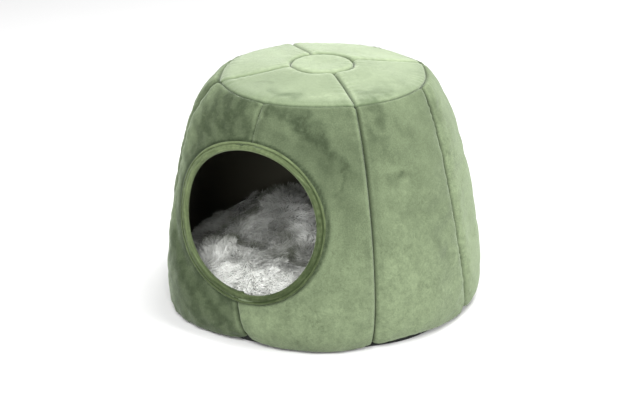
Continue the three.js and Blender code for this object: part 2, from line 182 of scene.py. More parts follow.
# Strokes that brushed the wall's pile down, darker, or up, lighter: angle and height at both ends
WALL_STROKES = table(
    "from to reach shade",
    # The dark stroke from (37, 214) to (34, 186) is painted shade along the faint wrinkle right of the opening
    ((2, 277), (17, 270), 8, -0.7), ((17, 270), (27, 246), 8, -0.8), ((27, 246), (38, 218), 7, -0.75),
    ((22, 256), (30, 262), 9, -0.5), ((32, 258), (33, 240), 7, 0.35), ((37, 214), (34, 186), 3, -0.45),
    ((9, 262), (14, 248), 8, 0.35), ((-3, 270), (-5, 243), 4, 0.9), ((-10, 268), (-20, 246), 10, -0.6),
    ((-20, 240), (-29, 214), 9, -0.45), ((-6, 240), (-13, 236), 6, 0.3), ((-12, 62), (-16, 50), 9, 0.5),
    ((-22, 44), (-30, 60), 9, -0.4), ((-1, 46), (6, 40), 6, 0.3), ((54, 280), (57, 266), 8, -0.9),
    ((50, 256), (55, 238), 7, -0.6), ((64, 258), (70, 246), 6, -0.45), ((53, 200), (61, 205), 4, -0.55),
    ((61, 205), (66, 196), 4, -0.5), ((56, 192), (62, 192), 5, 0.3), ((72, 128), (75, 98), 6, -0.5),
    ((68, 178), (76, 170), 7, 0.25), ((30, 120), (40, 100), 9, 0.25), ((24, 60), (40, 52), 9, 0.25),
    ((56, 92), (66, 70), 10, 0.25), ((92, 262), (98, 236), 10, -0.5), ((104, 180), (112, 150), 12, 0.4),
    ((118, 120), (124, 84), 10, -0.5), ((140, 256), (156, 240), 10, -0.6),
    ((156, 240), (164, 208), 9, -0.55), ((148, 128), (160, 100), 12, 0.4),
    ((184, 262), (196, 244), 9, 0.4), ((190, 196), (204, 180), 11, -0.6),
    ((210, 100), (216, 62), 11, -0.45), ((232, 252), (244, 224), 11, -0.6),
    ((238, 140), (250, 120), 12, 0.4), ((276, 258), (286, 232), 10, -0.5),
    ((292, 170), (300, 132), 11, 0.3), ((300, 84), (306, 56), 10, -0.45),
)

# The same on the top: place in millimetres to the right and to the back
TOP_STROKES = table(
    "from to reach shade",
    ((88, -62), (106, -36), 8, -0.9), ((92, -20), (112, 0), 6, -0.3),
    ((-14, -104), (12, -112), 6, -0.75), ((8, -112), (24, -100), 6, -0.7),
    ((-36, -84), (-22, -88), 4, -0.7), ((98, -88), (104, -66), 8, -0.9), ((40, -96), (66, -84), 8, 0.3),
    ((-70, 20), (-96, 44), 10, 0.3), ((40, 84), (70, 74), 10, 0.35), ((-30, 90), (-56, 76), 9, -0.35),
)

STROKE_STRENGTH = 0.75
FACE = {"radius": 180, "degree": 3.1}  # the unrolled wall, and millimetres to a degree of it
# The heights between which a panel's tone, its pile's lie and painted light together, turns from its foot
# value to its top value
PILE_HEIGHTS = (30, 250)  # between which the pile turns from its low lie to its high one
BLOTCHES = {"wide": 24, "fine": 9, "wide_share": 2}

# How far strokes stray from their lines, in a wide and a fine way, and over which sizes
STRAY = {"wide": 4, "fine": 2, "on_wall": (26, 9), "on_top": (20, 8)}

# Painted shade in a seam's groove, where the stitches also press its pile, and a painted highlight
# on the lip of raised pile beside it. On the top both are wider where a seam runs across the way the
# folds are lit from.
SEAM_SHADE = {"lip": 0.3, "lip_at": 4, "lip_reach": 2.2, "core": 0.42, "core_reach": 1.2}
TOP_SEAM_SHADE = {"core": 1.15, "narrow": 1.0, "wider": 1.5, "lip_at": 1.5}
LIGHT_SIDE = 28  # degrees from the front, the side that is seen and lit
# Painted shade along the ring's seam, on the wall and on the top: how much darker and how far, and how
# strongly the seam's painted shade and highlight show at the ring
RING_SHADE = {"wall": (0.35, 4), "top": (0.75, 9), "light_and_shade": 1.2}

WALL_STEPS = {"across": 64, "up": 120}
PETAL_STEPS = {"across": 96, "along": 52}
SPREAD_OF_STEPS = 0.6
PETAL_CORNER = 3
HALVINGS = 24
MEETINGS = 8


# Shape of the wall and the top

def column(rows, name):
    return np.array([row[name] for row in rows], float)


def between(low, high, share):
    return low + (high - low) * share


def eased(value, low, high):
    share = np.clip((value - low) / (high - low), 0, 1)
    return share * share * (3 - 2 * share)


def risen(away, start, reach):
    """From 0 at its start to 1 a reach beyond it."""
    return np.clip((away - start) / reach, 0, 1)


def bell(off, reach):
    return np.exp(-(off / reach) ** 2)


def hump(away, top_at):
    """From 0 up to 1 where its top is, and slowly down again beyond it."""
    near = away / top_at
    return near * np.exp(1 - near)


def arc(turned, radius):
    """Millimetres round a circle for an angle in degrees."""
    return turned * math.radians(1) * radius


def seam_distances(angle, left, right, radius, place, length):
    """Millimetres to the left and the right seam and to the nearer of them, then the same for the
    ring and the other end of the piece."""
    sides = arc(angle - left, radius), arc(right - angle, radius)
    ends = (1 - place) * length, place * length
    return *sides, np.minimum(*sides), *ends, np.minimum(*ends)


def band(row, away):
    """A soft band of shade beside a line."""
    return row["shade"] * bell(away - row["at"], row["reach"])


def matched(*values):
    return np.broadcast_arrays(*(np.asarray(value, float) for value in values))


def polar(angle, radius, height):
    turn = np.radians(angle)
    return np.stack(np.broadcast_arrays(radius * np.sin(turn), -radius * np.cos(turn), height), -1)


def fullness(share, sharpness):
    return np.sqrt(np.maximum(0, 1 - np.abs(share) ** sharpness))


def fullness_between(place, sharpness):
    return fullness(2 * place - 1, sharpness)


def up_the_wall(rows, index, place):
    """The value at a place up the wall, from those at its foot, half way up and at the ring."""
    foot, middle, ring = (column(rows, name)[index] for name in ("foot", "middle", "ring"))
    near = foot * (1 - place) - ring * place
    return near * (1 - 2 * place) + middle * 4 * place * (1 - place)


def seam_angle(index, place):
    index = np.asarray(index)
    return up_the_wall(SEAMS, index % len(SEAMS), place) + 360 * (index // len(SEAMS))


def panel_at(angle, place):
    """Which panel lies at an angle and a place up the wall, and how far across it that is."""
    first = seam_angle(0, place)
    turned = first + (angle - first) % 360
    index = np.zeros(np.broadcast(turned, place).shape, int)
    for seam in range(1, len(SEAMS)):
        index = np.where(seam_angle(seam, place) <= turned, seam, index)
    left = seam_angle(index, place)
    return index, np.clip((turned - left) / (seam_angle(index + 1, place) - left), 0, 1)


def swollen(angle, height):
    total = 0
    for row in SWELLINGS:
        turned = ((angle - row["angle"] + 180) % 360 - 180) / row["around"]
        total = total + row["out"] * np.exp(-turned ** 2 - ((height - row["height"]) / row["up"]) ** 2)
    return total


def spread(angle, place):
    """How far the wall stands outside the circle through its seams."""
    index, across = panel_at(angle, place)
    left, right = column(PANELS, "left")[index], column(PANELS, "right")[index]
    fullest = left / (left + right)
    rise = across ** left * (1 - across) ** right / (fullest ** left * (1 - fullest) ** right)
    return up_the_wall(PANELS, index, place) * rise + swollen(angle, wall_line(angle, place)[1])


def wall_line(angle, place):
    """Radius and height of the seam line, and its slope."""
    index, across = panel_at(angle, np.zeros_like(place))
    lift = column(SEAMS, "lift")
    lifted = between(lift[index], lift[(index + 1) % len(SEAMS)], across)
    foot = FOOT["height"] + lifted * (2 * across - 1) ** FOOT["notch"]
    foot = foot + HEM["lift"] * bell(angle % 360 - HEM["at"], HEM["around"])
    rest = 1 - place
    radii = (FOOT["radius"], WALL_LOW["radius"], WALL_HIGH["radius"], RING["radius"])
    heights = (foot, WALL_LOW["height"], WALL_HIGH["height"], RING["height"])
    found = []
    for a, b, c, d in (radii, heights):
        found.append(rest ** 3 * a + 3 * rest ** 2 * place * b + 3 * rest * place ** 2 * c + place ** 3 * d)
    for a, b, c, d in (radii, heights):
        found.append(3 * rest ** 2 * (b - a) + 6 * rest * place * (c - b) + 3 * place ** 2 * (d - c))
    return found


def line_length(angle):
    places = np.linspace(0, 1, 65)
    radius, height = wall_line(np.full_like(places, float(angle)), places)[:2]
    return float(np.hypot(np.diff(radius), np.diff(height)).sum())


def unit(direction):
    return direction / np.linalg.norm(direction, axis=-1, keepdims=True)


def leaning(normal, towards, share):
    return unit(between(normal, towards, share[..., None]))


def wall_point(angle, place, out):
    """A point so far out of the wall's seam line."""
    angle, place, out = matched(angle, place, out)
    radius, height, outwards, upwards = wall_line(angle, place)
    square = unit(np.stack([upwards, -outwards], -1))
    normal = leaning(square, SLANT, eased(place, MITRE["wall"], 1))
    return polar(angle, radius + spread(angle, place) + normal[..., 0] * out, height + normal[..., 1] * out)


def top_point(angle, place, out):
    """The same on the top, where the place runs from the disc to the ring."""
    angle, place, out = matched(angle, place, out)
    ring = RING["radius"] + spread(angle, np.ones_like(angle))
    radius = between(DISC["radius"], ring, place)
    height = between(DISC["height"], RING["height"], place) + TOP["arch"] * 4 * place * (1 - place)
    drop = RING["height"] - DISC["height"] + TOP["arch"] * 4 * (1 - 2 * place)
    slope = drop / (ring - DISC["radius"])
    square = unit(np.stack([-slope, np.ones_like(slope)], -1))
    mitred = leaning(square, SLANT, eased(place, MITRE["top"], 1))
    normal = leaning(mitred, LEVEL_WAY, 1 - eased(place, 0, MITRE["level"]))
    return polar(angle, radius + normal[..., 0] * out, height + normal[..., 1] * out)


def place_at_height(angle, height):
    low = np.zeros(np.broadcast(angle, height).shape)
    high = np.ones_like(low)
    for _ in range(HALVINGS):
        middle = (low + high) / 2
        under = wall_line(angle, middle)[1] < height
        low = np.where(under, middle, low)
        high = np.where(under, high, middle)
    return low


def wall_radius(angle, place):
    return wall_line(angle, place)[0] + spread(angle, place)


# The opening, seen square on

def opening_share(sideways, upwards):
    """How far out a place is, where 1 is the rim."""
    across = (sideways - OPENING["lean"] * upwards) / OPENING["half_width"]
    direction = LOBES["number"] * np.arctan2(upwards, sideways) - math.radians(LOBES["turn"])
    return np.hypot(across, upwards / OPENING["half_height"]) / (1 + LOBES["depth"] * np.cos(direction))


def place_ahead(sideways, upwards):
    """The angle and place on the wall behind a place on the opening's face."""
    height = OPENING["height"] + upwards
    angle = np.full(np.shape(sideways), float(OPENING["turn"]))
    place = place_at_height(angle, height)
    for _ in range(MEETINGS):
        angle = OPENING["turn"] + np.degrees(np.arcsin(sideways / wall_radius(angle, place)))
        place = place_at_height(angle, height)
    return angle, place


def rim_place(direction, beyond):
    sideways, upwards = np.cos(direction), np.sin(direction)
    distance = 1 / opening_share(sideways, upwards) + beyond
    return place_ahead(sideways * distance, upwards * distance)


def rim_point(direction, beyond, out):
    angle, place = rim_place(direction, beyond)
    return wall_point(angle, place, out)


def seen_ahead(angle, place):
    """Sideways and upwards places on the opening's face, and whether it is on that side at all."""
    turn = np.radians(angle - OPENING["turn"])
    sideways = wall_radius(angle, place) * np.sin(turn)
    upwards = wall_line(angle, place)[1] - OPENING["height"]
    return sideways, upwards, np.cos(turn) > 0


def beyond_rim(angle, place):
    """Millimetres beyond the rim, inside which it is below 0."""
    sideways, upwards, ahead = seen_ahead(angle, place)
    beyond = (opening_share(sideways, upwards) - 1) * OPENING["half_height"]
    return np.where(ahead, beyond, FAR)


def fullness_near_rim(angle, place):
    near = risen(beyond_rim(angle, place), RIM["flat"], RIM["reach"])
    return near * (2 - near)


def wall_fullness(angle, across, place):
    full = fullness_between(across, WALL["across"]) * fullness_between(place, WALL["up"])
    return full * fullness_near_rim(angle, place)


# Softness: lumps of the filling, puckers at the seams, creases and strokes

def lumps(points, size, seed):
    """Soft unevenness from about -1 to 1: seven waves that cross."""
    chance = np.random.default_rng(seed)
    total = np.zeros(points.shape[:-1])
    for _ in range(7):
        way = unit(chance.normal(size=3))
        length = size * chance.uniform(0.7, 1.5)
        total += np.sin(points @ way * (2 * np.pi / length) + chance.uniform(0, 2 * np.pi))
    return total / 2.8


def filling(points, name, seed):
    size, out = FILLING[name]
    return out * lumps(points, size, seed)


def strayed(points, sizes, seed):
    """Millimetres by which a stroke strays from its line."""
    wide, fine = sizes
    return STRAY["wide"] * lumps(points, wide, seed) + STRAY["fine"] * lumps(points, fine, seed + 1)


def puckers(along, away, seed):
    """Short uneven ripples that run into a seam."""
    wander = sum(high * np.sin(along / length + turn * seed) for high, length, turn in PUCKER_WANDER)
    strength = PUCKER["strength"] + PUCKER["varies"] * np.sin(along / PUCKER["over"] + PUCKER["turn"] * seed)
    return np.sin(2 * np.pi * along / PUCKER["length"] + wander) * strength * hump(away, PUCKER["reach"])


def drawn_in(away):
    """How far a seam draws the cloth down, and its shoulder up, at a distance from it."""
    return SEAM["shoulder"] * hump(away, SEAM["shoulder_at"]) - SEAM["depth"] * bell(away, SEAM["reach"])


# Painted shade at a seam's stitches, where the pile is also pressed, and a painted highlight on the lip beside
# them
def seam_shade_and_highlight(away):
    lip = SEAM_SHADE["lip"] * bell(away - SEAM_SHADE["lip_at"], SEAM_SHADE["lip_reach"])
    return lip - SEAM_SHADE["core"] * bell(away, SEAM_SHADE["core_reach"])


# The same painted shade and highlight on the top, wider where a seam runs across the light
def top_seam_shade_and_highlight(away, angle):
    across_light = np.abs(np.sin(np.radians(angle - LIGHT_SIDE)))
    wide = TOP_SEAM_SHADE["narrow"] + TOP_SEAM_SHADE["wider"] * across_light
    lip = SEAM_SHADE["lip"] * bell(away - 2 * wide - TOP_SEAM_SHADE["lip_at"], SEAM_SHADE["lip_reach"])
    return lip - TOP_SEAM_SHADE["core"] * bell(away, wide)


def corner_drop(away, radius):
    """How far a rounded corner falls short of a square one, at a distance from its side."""
    off = np.clip(radius - away, 0, radius)
    return radius - np.sqrt(radius ** 2 - off ** 2)


def away_from_line(across, up, start, end):
    """Distance from the line between two points."""
    run = np.subtract(end, start)
    share = np.clip(((across - start[0]) * run[0] + (up - start[1]) * run[1]) / (run @ run), 0, 1)
    return np.hypot(across - start[0] - share * run[0], up - start[1] - share * run[1])


def marks(rows, across, up, worth):
    """What the rows' lines add up to at places on a face."""
    total = np.zeros_like(across)
    for row in rows:
        total += row[worth] * bell(away_from_line(across, up, row["from"], row["to"]), row["reach"])
    return total


def wall_marks(rows, angle, height, worth):
    """The same on the unrolled wall, whose rows give angles and heights."""
    total = np.zeros_like(height)
    for turn in (0, -360):
        laid = []
        for row in rows:
            ends = {end: (arc(row[end][0] + turn, FACE["radius"]), row[end][1]) for end in ("from", "to")}
            laid.append({**row, **ends})
        total += marks(laid, arc(angle, FACE["radius"]), height, worth)
    return total


# Meshes

def flat_grid(columns, rows):
    shape = bmesh.new()
    bmesh.ops.create_grid(shape, x_segments=columns, y_segments=rows, size=0.5)
    return shape


def grid_places(shape):
    """How far across and along the grid each vertex lies, from 0 to 1."""
    found = np.array([vertex.co[:2] for vertex in shape.verts]) + 0.5
    return np.clip(found, 0, 1).T


def spun_round(shape, steps, merged=1e-5):
    """Spins what a shape holds once round the upright axis."""
    bmesh.ops.spin(
        shape, geom=shape.verts[:] + shape.edges[:], axis=(0, 0, 1), cent=(0, 0, 0),
        steps=steps, angle=2 * math.pi, use_merge=True,
    )
    bmesh.ops.remove_doubles(shape, verts=shape.verts[:], dist=merged)
    return shape


def spun_line(points, steps, merged=1e-5):
    """A line of (radius, height) points, spun once round."""
    shape = bmesh.new()
    spoke = [shape.verts.new((across, 0, up)) for across, up in points]
    for first, second in zip(spoke, spoke[1:]):
        shape.edges.new((first, second))
    return spun_round(shape, steps, merged)


def round_sheet(radius, rings, steps):
    """A round sheet, its rings closer together towards its edge."""
    radii = radius * np.sin(np.linspace(0, np.pi / 2, rings))
    return spun_line([(ring, 0) for ring in radii], steps)


def round_places(shape):
    """Radius and angle of each vertex of a round sheet."""
    found = np.array([vertex.co[:2] for vertex in shape.verts])
    return np.hypot(found[:, 0], found[:, 1]), np.degrees(np.arctan2(found[:, 0], -found[:, 1]))


def keep(shape, **values):
    """Keeps a value for each vertex under each name."""
    for name, found in values.items():
        layer = shape.verts.layers.float.get(name) or shape.verts.layers.float.new(name)
        for vertex, value in zip(shape.verts, found):
            vertex[layer] = value


def kept(shape, *names):
    layers = [shape.verts.layers.float[name] for name in names]
    return [np.array([vertex[layer] for vertex in shape.verts]) for layer in layers]


def close_with_back(shape):
    """Doubles a sheet and joins both along its borders, and returns which vertices are on the
    copy, the outer face."""
    keep(shape, face=np.zeros(len(shape.verts)))
    made = bmesh.ops.extrude_face_region(shape, geom=shape.faces[:], use_keep_orig=True)
    layer = shape.verts.layers.float["face"]
    for vertex in made["geom"]:
        if isinstance(vertex, bmesh.types.BMVert):
            vertex[layer] = 1
    return kept(shape, "face")[0] > 0.5


def put(shape, points):
    for vertex, point in zip(shape.verts, points):
        vertex.co = Vector(point) * MM


def cut_opening(shape, angle, place, on_wall=True):
    """Deletes what lies inside the rim and draws the new border onto it."""
    beyond = np.where(on_wall, beyond_rim(angle, place), FAR)
    sideways, upwards, _ = seen_ahead(angle, place)
    directions = dict(zip(shape.verts, np.arctan2(upwards, sideways)))
    inside = [vertex for vertex, value in zip(shape.verts, beyond) if value < 0]
    reached = {edge.other_vert(vertex): None for vertex in inside for edge in vertex.link_edges}
    lost = set(inside)
    border = [vertex for vertex in reached if vertex not in lost]
    rim_angle, rim_at = rim_place(np.array([directions[vertex] for vertex in border]), 0.0)
    angle_layer = shape.verts.layers.float["angle"]
    place_layer = shape.verts.layers.float["place"]
    for vertex, new_angle, new_place in zip(border, rim_angle, rim_at):
        vertex[angle_layer] = new_angle
        vertex[place_layer] = new_place
    bmesh.ops.delete(shape, geom=inside, context="VERTS")


def new_object(name, data):
    made = bpy.data.objects.new(name, data)
    bpy.context.scene.collection.objects.link(made)
    return made


def made_object(name, shape, material, outwards=True):
    if outwards:
        bmesh.ops.recalc_face_normals(shape, faces=shape.faces[:])
    mesh = bpy.data.meshes.new(name)
    shape.to_mesh(mesh)
    shape.free()
    mesh.polygons.foreach_set("use_smooth", [True] * len(mesh.polygons))
    mesh.materials.append(material)
    return new_object(name, mesh)


# Materials

def fill(tree, node, inputs):
    """Sets a node's inputs, or links them where a socket is given."""
    for key, value in inputs.items():
        if isinstance(value, bpy.types.NodeSocket):
            tree.links.new(value, node.inputs[key])
        else:
            node.inputs[key].default_value = value


def add_node(tree, kind, inputs=None, **settings):
    made = tree.nodes.new(kind)
    for name, value in settings.items():
        setattr(made, name, value)
    fill(tree, made, inputs or {})
    return made


def maths(tree, operation, *values):
    return add_node(tree, "ShaderNodeMath", dict(enumerate(values)), operation=operation).outputs[0]


def plus(tree, first, second):
    return maths(tree, "ADD", first, second)


def minus(tree, first, second):
    return maths(tree, "SUBTRACT", first, second)


def times(tree, first, second):
    return maths(tree, "MULTIPLY", first, second)


def mixed(tree, first, second, shares):
    return plus(tree, times(tree, first, shares[0]), times(tree, second, shares[1]))


def colour_mix(tree, factor, first, second):
    inputs = {0: factor, 6: first, 7: second}
    return add_node(tree, "ShaderNodeMix", inputs, data_type="RGBA").outputs[2]


def opaque(colour):
    return (*colour, 1)


def noise(tree, where, *values):
    """Noise of a scale, detail, roughness and distortion."""
    inputs = dict(zip(("Scale", "Detail", "Roughness", "Distortion"), values))
    return add_node(tree, "ShaderNodeTexNoise", {"Vector": where, **inputs}).outputs[0]


def effect(name, numbers, colours):
    """A group that gives a cloth's colour, roughness and height, from its numbers and colours."""
    tree = bpy.data.node_groups.new(name, "ShaderNodeTree")
    inputs = {"Float": numbers, "Color": colours}
    outputs = {"Color": ["Color"], "Float": ["Roughness", "Height"]}
    for way, sockets in (("INPUT", inputs), ("OUTPUT", outputs)):
        for kind, labels in sockets.items():
            for label in labels:
                tree.interface.new_socket(label, in_out=way, socket_type=f"NodeSocket{kind}")
    return tree, tree.nodes.new("NodeGroupInput").outputs, tree.nodes.new("NodeGroupOutput").inputs


# The velvet's unevenness: how many to a metre, detail, roughness and distortion
NAP_NOISE = {
    "patches": (16, 2, 0.5, 0.6),
    "mottle": (75, 3, 0.6, 0.8),
    "flecks": (240, 3, 0.65, 1.2),
    "grain": (620, 2, 0.6, 0),
    "pile": (2600, 1, 0.5, 0),
}
NAP = {"Patches": 0.5, "Mottle": 0.16, "Grain": 0.5, "Speckle": 0.2}
BROKEN_STROKES = (1.1, 0.9)  # how flecks and mottle break up a stroke
SPECKLES = (2.1, 0.4)  # and how they speckle the colour
NAP_HEIGHT = (0.6, 0.4)  # grain and pile
NAP_SWING = 1.7
NAP_ROUGHNESS = (0.72, 0.2)
THREAD_ROUGHNESS = (0.95, 0.15)


def brushed_velvet():
    """Short pile, brushed darker and lighter in soft-edged patches, with a fine grain. The tone it is
    given also carries painted light and shade.
    """
    tree, given, wanted = effect("brushed_velvet", ["Brushed And Shaded", *NAP], ["Pile Down", "Pile Up"])
    where = add_node(tree, "ShaderNodeTexCoord").outputs["Object"]
    wide, mottle, flecks, grain, pile = (noise(tree, where, *row) for row in NAP_NOISE.values())
    broken = minus(tree, mixed(tree, flecks, mottle, BROKEN_STROKES), 0.5)
    shade = plus(tree, 0.5, times(tree, given["Brushed And Shaded"], broken))
    for found, strength in ((wide, "Patches"), (mottle, "Mottle"), (flecks, "Mottle"), (grain, "Grain")):
        shade = plus(tree, shade, times(tree, minus(tree, found, 0.5), given[strength]))
    swing = maths(tree, "TANH", times(tree, minus(tree, shade, 0.5), NAP_SWING))
    shade = plus(tree, 0.5, times(tree, swing, 0.5))
    speckled = minus(tree, mixed(tree, flecks, mottle, SPECKLES), sum(SPECKLES) / 2)
    worth = plus(tree, 1, times(tree, speckled, given["Speckle"]))
    pile_colour = colour_mix(tree, shade, given["Pile Down"], given["Pile Up"])
    scaled = add_node(tree, "ShaderNodeVectorMath", {0: pile_colour, 3: worth}, operation="SCALE").outputs[0]
    tree.links.new(scaled, wanted["Color"])
    plain, added = NAP_ROUGHNESS
    tree.links.new(plus(tree, plain, times(tree, shade, added)), wanted["Roughness"])
    height = plus(tree, mixed(tree, grain, pile, NAP_HEIGHT), times(tree, mottle, 0.5))
    tree.links.new(height, wanted["Height"])
    return tree


def woven_cloth():
    """Crossing threads of a plain weave, by two places given in threads."""
    tree, given, wanted = effect("woven_cloth", ["Across", "Along"], ["Deep", "Raised"])
    ridges = [maths(tree, "SINE", times(tree, given[name], 2 * math.pi)) for name in ("Across", "Along")]
    threads = plus(tree, 0.5, times(tree, times(tree, *ridges), 0.5))
    tree.links.new(colour_mix(tree, threads, given["Deep"], given["Raised"]), wanted["Color"])
    plain, taken = THREAD_ROUGHNESS
    tree.links.new(minus(tree, plain, times(tree, threads, taken)), wanted["Roughness"])
    tree.links.new(threads, wanted["Height"])
    return tree


def new_material(name):
    made = bpy.data.materials.new(name)
    made.use_nodes = True
    return made, made.node_tree, made.node_tree.nodes["Principled BSDF"]


def attribute(tree, name):
    return add_node(tree, "ShaderNodeAttribute", attribute_name=name).outputs["Fac"]


def cloth_finish(tree, shader, group, inputs, specular, bump):
    """Places an effect in a material, with its values, and joins it to the shader."""
    found = add_node(tree, "ShaderNodeGroup", inputs, node_tree=group)
    distance, strength = bump
    height = {"Height": found.outputs["Height"], "Distance": distance, "Strength": strength}
    fill(tree, shader, {
        "Base Color": found.outputs["Color"],
        "Roughness": found.outputs["Roughness"],
        "Specular IOR Level": specular,
        "Normal": add_node(tree, "ShaderNodeBump", height).outputs["Normal"],
    })


def velvet(name, pile_down, pile_up, sheen, tint):
    made, tree, shader = new_material(name)
    pile = {"Brushed And Shaded": attribute(tree, "brushed"), "Pile Down": opaque(pile_down), "Pile Up": opaque(pile_up)}
    cloth_finish(tree, shader, velvet_group, {**pile, **NAP}, specular=0.15, bump=(0.0005, 0.7))
    fill(tree, shader, {"Sheen Weight": sheen, "Sheen Roughness": 0.4, "Sheen Tint": opaque(tint)})
    return made


def woven(name, across, along, deep, raised):
    """A plain weave, its threads counted by two functions of the object's place."""
    made, tree, shader = new_material(name)
    where = add_node(tree, "ShaderNodeTexCoord").outputs["Object"]
    threads = {"Across": across(tree, where), "Along": along(tree, where)}
    colours = {"Deep": opaque(deep), "Raised": opaque(raised)}
    cloth_finish(tree, shader, weave_group, {**threads, **colours}, specular=0.2, bump=(0.0003, 1))
    return made


def threads_round(count):
    def counted(tree, where):
        turn = add_node(tree, "ShaderNodeTexGradient", {"Vector": where}, gradient_type="RADIAL").outputs[1]
        return times(tree, turn, count)
    return counted


def threads_along(axis, per_metre):
    def counted(tree, where):
        place = add_node(tree, "ShaderNodeSeparateXYZ", {0: where}).outputs[axis]
        return times(tree, place, per_metre)
    return counted


def plush(name, deep, tip):
    """Long pile: dark at the root, mottled grey and white towards the tip."""
    made, tree, shader = new_material(name)
    strand = colour_mix(tree, attribute(tree, "tone"), opaque(deep), opaque(tip))
    root = colour_mix(tree, 0.85, (0, 0, 0, 1), strand)
    colour = colour_mix(tree, attribute(tree, "along"), root, strand)
    fill(tree, shader, {"Base Color": colour, "Roughness": 0.75, "Specular IOR Level": 0.15})
    fill(tree, shader, {"Sheen Weight": 0.25})
    return made


velvet_group = brushed_velvet()
weave_group = woven_cloth()
wall_velvet = velvet("wall_velvet", (0.015, 0.024, 0.009), (0.152, 0.191, 0.11), 0.22, (0.8, 0.92, 0.72))
# The top's velvet is the wall's fabric with lighter pile colours: painted light on the top, which faces the
# lights
top_velvet = velvet("top_velvet", (0.06, 0.085, 0.042), (0.25, 0.3, 0.19), 0.45, (0.85, 0.93, 0.77))
tape_velvet = velvet("tape_velvet", (0.015, 0.025, 0.006), (0.118, 0.15, 0.072), 0.2, (0.8, 0.93, 0.7))
lining_threads = threads_round(900), threads_along(2, 900)
lining_cloth = woven("lining_cloth", *lining_threads, (0.05, 0.05, 0.034), (0.105, 0.1, 0.075))
base_threads = threads_along(0, 500), threads_along(1, 500)
base_cloth = woven("base_cloth", *base_threads, (0.006, 0.007, 0.006), (0.02, 0.022, 0.021))
plush_pile = plush("plush_pile", (0.075, 0.083, 0.058), (0.97, 0.98, 0.95))


# The padding swells against its seams: Cloth on a coarse copy of each skin, sewn fast along its
# seams. What is kept of it is the wrinkles, added to the finer skin.

SWELL = {"frames": 20, "cap": 0.6, "even_out": 4, "sewn": 4, "fast": 1.6, "unrest": 0.5, "unrest_size": 24}
COARSE = {"across": 40, "along": 64}
CLOTH = {
    "quality": 5,
    "mass": 0.2,
    "tension_stiffness": 12,
    "compression_stiffness": 12,
    "shear_stiffness": 4,
    "bending_stiffness": 0.6,
    "tension_damping": 12,
    "compression_damping": 12,
    "use_pressure": True,
    "uniform_pressure_force": 4,
    "shrink_min": -0.03,
    "vertex_group_mass": "sewn",
}


def swell(skin, fast):
    """Runs Cloth on a skin, held where it is fast, and returns where its vertices end, in
    millimetres."""
    group = skin.vertex_groups.new(name="sewn")
    for vertex, weight in enumerate(fast):
        group.add([vertex], float(weight), "REPLACE")
    modifier = skin.modifiers.new("cloth", "CLOTH")
    for name, value in CLOTH.items():
        setattr(modifier.settings, name, value)
    modifier.settings.effector_weights.gravity = 0
    modifier.collision_settings.use_collision = False
    modifier.collision_settings.use_self_collision = False
    modifier.point_cache.frame_start = 1
    modifier.point_cache.frame_end = SWELL["frames"]
    for step in range(1, SWELL["frames"] + 1):
        bpy.context.scene.frame_set(step)
    ended = skin.evaluated_get(bpy.context.evaluated_depsgraph_get()).to_mesh()
    found = np.array([vertex.co for vertex in ended.vertices]) / MM
    bpy.context.scene.frame_set(1)
    return found


def smoothed(field, steps, axis):
    reach = np.arange(-3 * steps, 3 * steps + 1)
    weights = np.exp(-(reach / steps) ** 2)
    edges = [(3 * steps, 3 * steps) if axis == turn else (0, 0) for turn in (0, 1)]
    padded = np.pad(field, edges, mode="edge")
    return np.apply_along_axis(lambda row: np.convolve(row, weights / weights.sum(), "valid"), axis, padded)


def wrinkles(name, skin_point, to_seam, seed):
    """How far out the wrinkles lie, over a grid of places, from a function that gives the skin's
    points and outward direction and one that gives the distance from the nearest seam."""
    field = np.zeros((COARSE["along"] + 1, COARSE["across"] + 1))
    shape = flat_grid(COARSE["across"], COARSE["along"])
    across, along = grid_places(shape)
    points, outwards = skin_point(across, along)
    fast = np.clip(SWELL["fast"] - to_seam(across, along) / SWELL["sewn"], 0, 1)
    unrest = SWELL["unrest"] * lumps(points, SWELL["unrest_size"], seed) * (1 - fast)
    put(shape, points + outwards * unrest[:, None])
    skin = made_object(name, shape, wall_velvet, outwards=False)
    swollen_out = ((swell(skin, fast) - points) * outwards).sum(-1)
    bpy.data.meshes.remove(skin.data)
    row = np.rint(along * COARSE["along"]).astype(int)
    place_across = np.rint(across * COARSE["across"]).astype(int)
    field[row, place_across] = swollen_out
    wide = smoothed(smoothed(field, SWELL["even_out"], 0), SWELL["even_out"], 1)
    return np.tanh((field - wide) / SWELL["cap"]) * SWELL["cap"]


def looked_up(field, across, along):
    """The field's value at places from 0 to 1 across and along it."""
    rows, columns = field.shape
    x = np.clip(across, 0, 1) * (columns - 1)
    y = np.clip(along, 0, 1) * (rows - 1)
    x0 = np.minimum(x.astype(int), columns - 2)
    y0 = np.minimum(y.astype(int), rows - 2)
    low = between(field[y0, x0], field[y0, x0 + 1], x - x0)
    high = between(field[y0 + 1, x0], field[y0 + 1, x0 + 1], x - x0)
    return between(low, high, y - y0)


# The padded wall

def eased_steps(share):
    return between(share, 0.5 - 0.5 * np.cos(np.pi * share), SPREAD_OF_STEPS)


def valley(seam):
    return VALLEYS.get(seam % len(SEAMS), LEVEL)


def wall_wrinkles(index, length):
    """The wrinkles of a wall panel's skin."""

    def angle_of(across, place):
        return between(seam_angle(index, place), seam_angle(index + 1, place), across)

    def to_seam(across, place):
        angle = angle_of(across, place)
        width = arc(seam_angle(index + 1, place) - seam_angle(index, place), wall_radius(angle, place))
        sides = np.minimum(across, 1 - across) * width
        ends = np.minimum(place, 1 - place) * length
        to_tape = np.maximum(beyond_rim(angle, place) - HELD["tape"], 0)
        return np.minimum(np.minimum(sides, ends), to_tape)

    def skin_point(across, place):
        angle = angle_of(across, place)
        out = EDGE / 2 + WALL["puff"] * wall_fullness(angle, across, place)
        outwards = unit(wall_point(angle, place, 1.0) - wall_point(angle, place, 0.0))
        return wall_point(angle, place, out), outwards

    return wrinkles(f"skin_{index + 1}", skin_point, to_seam, 60 + index)


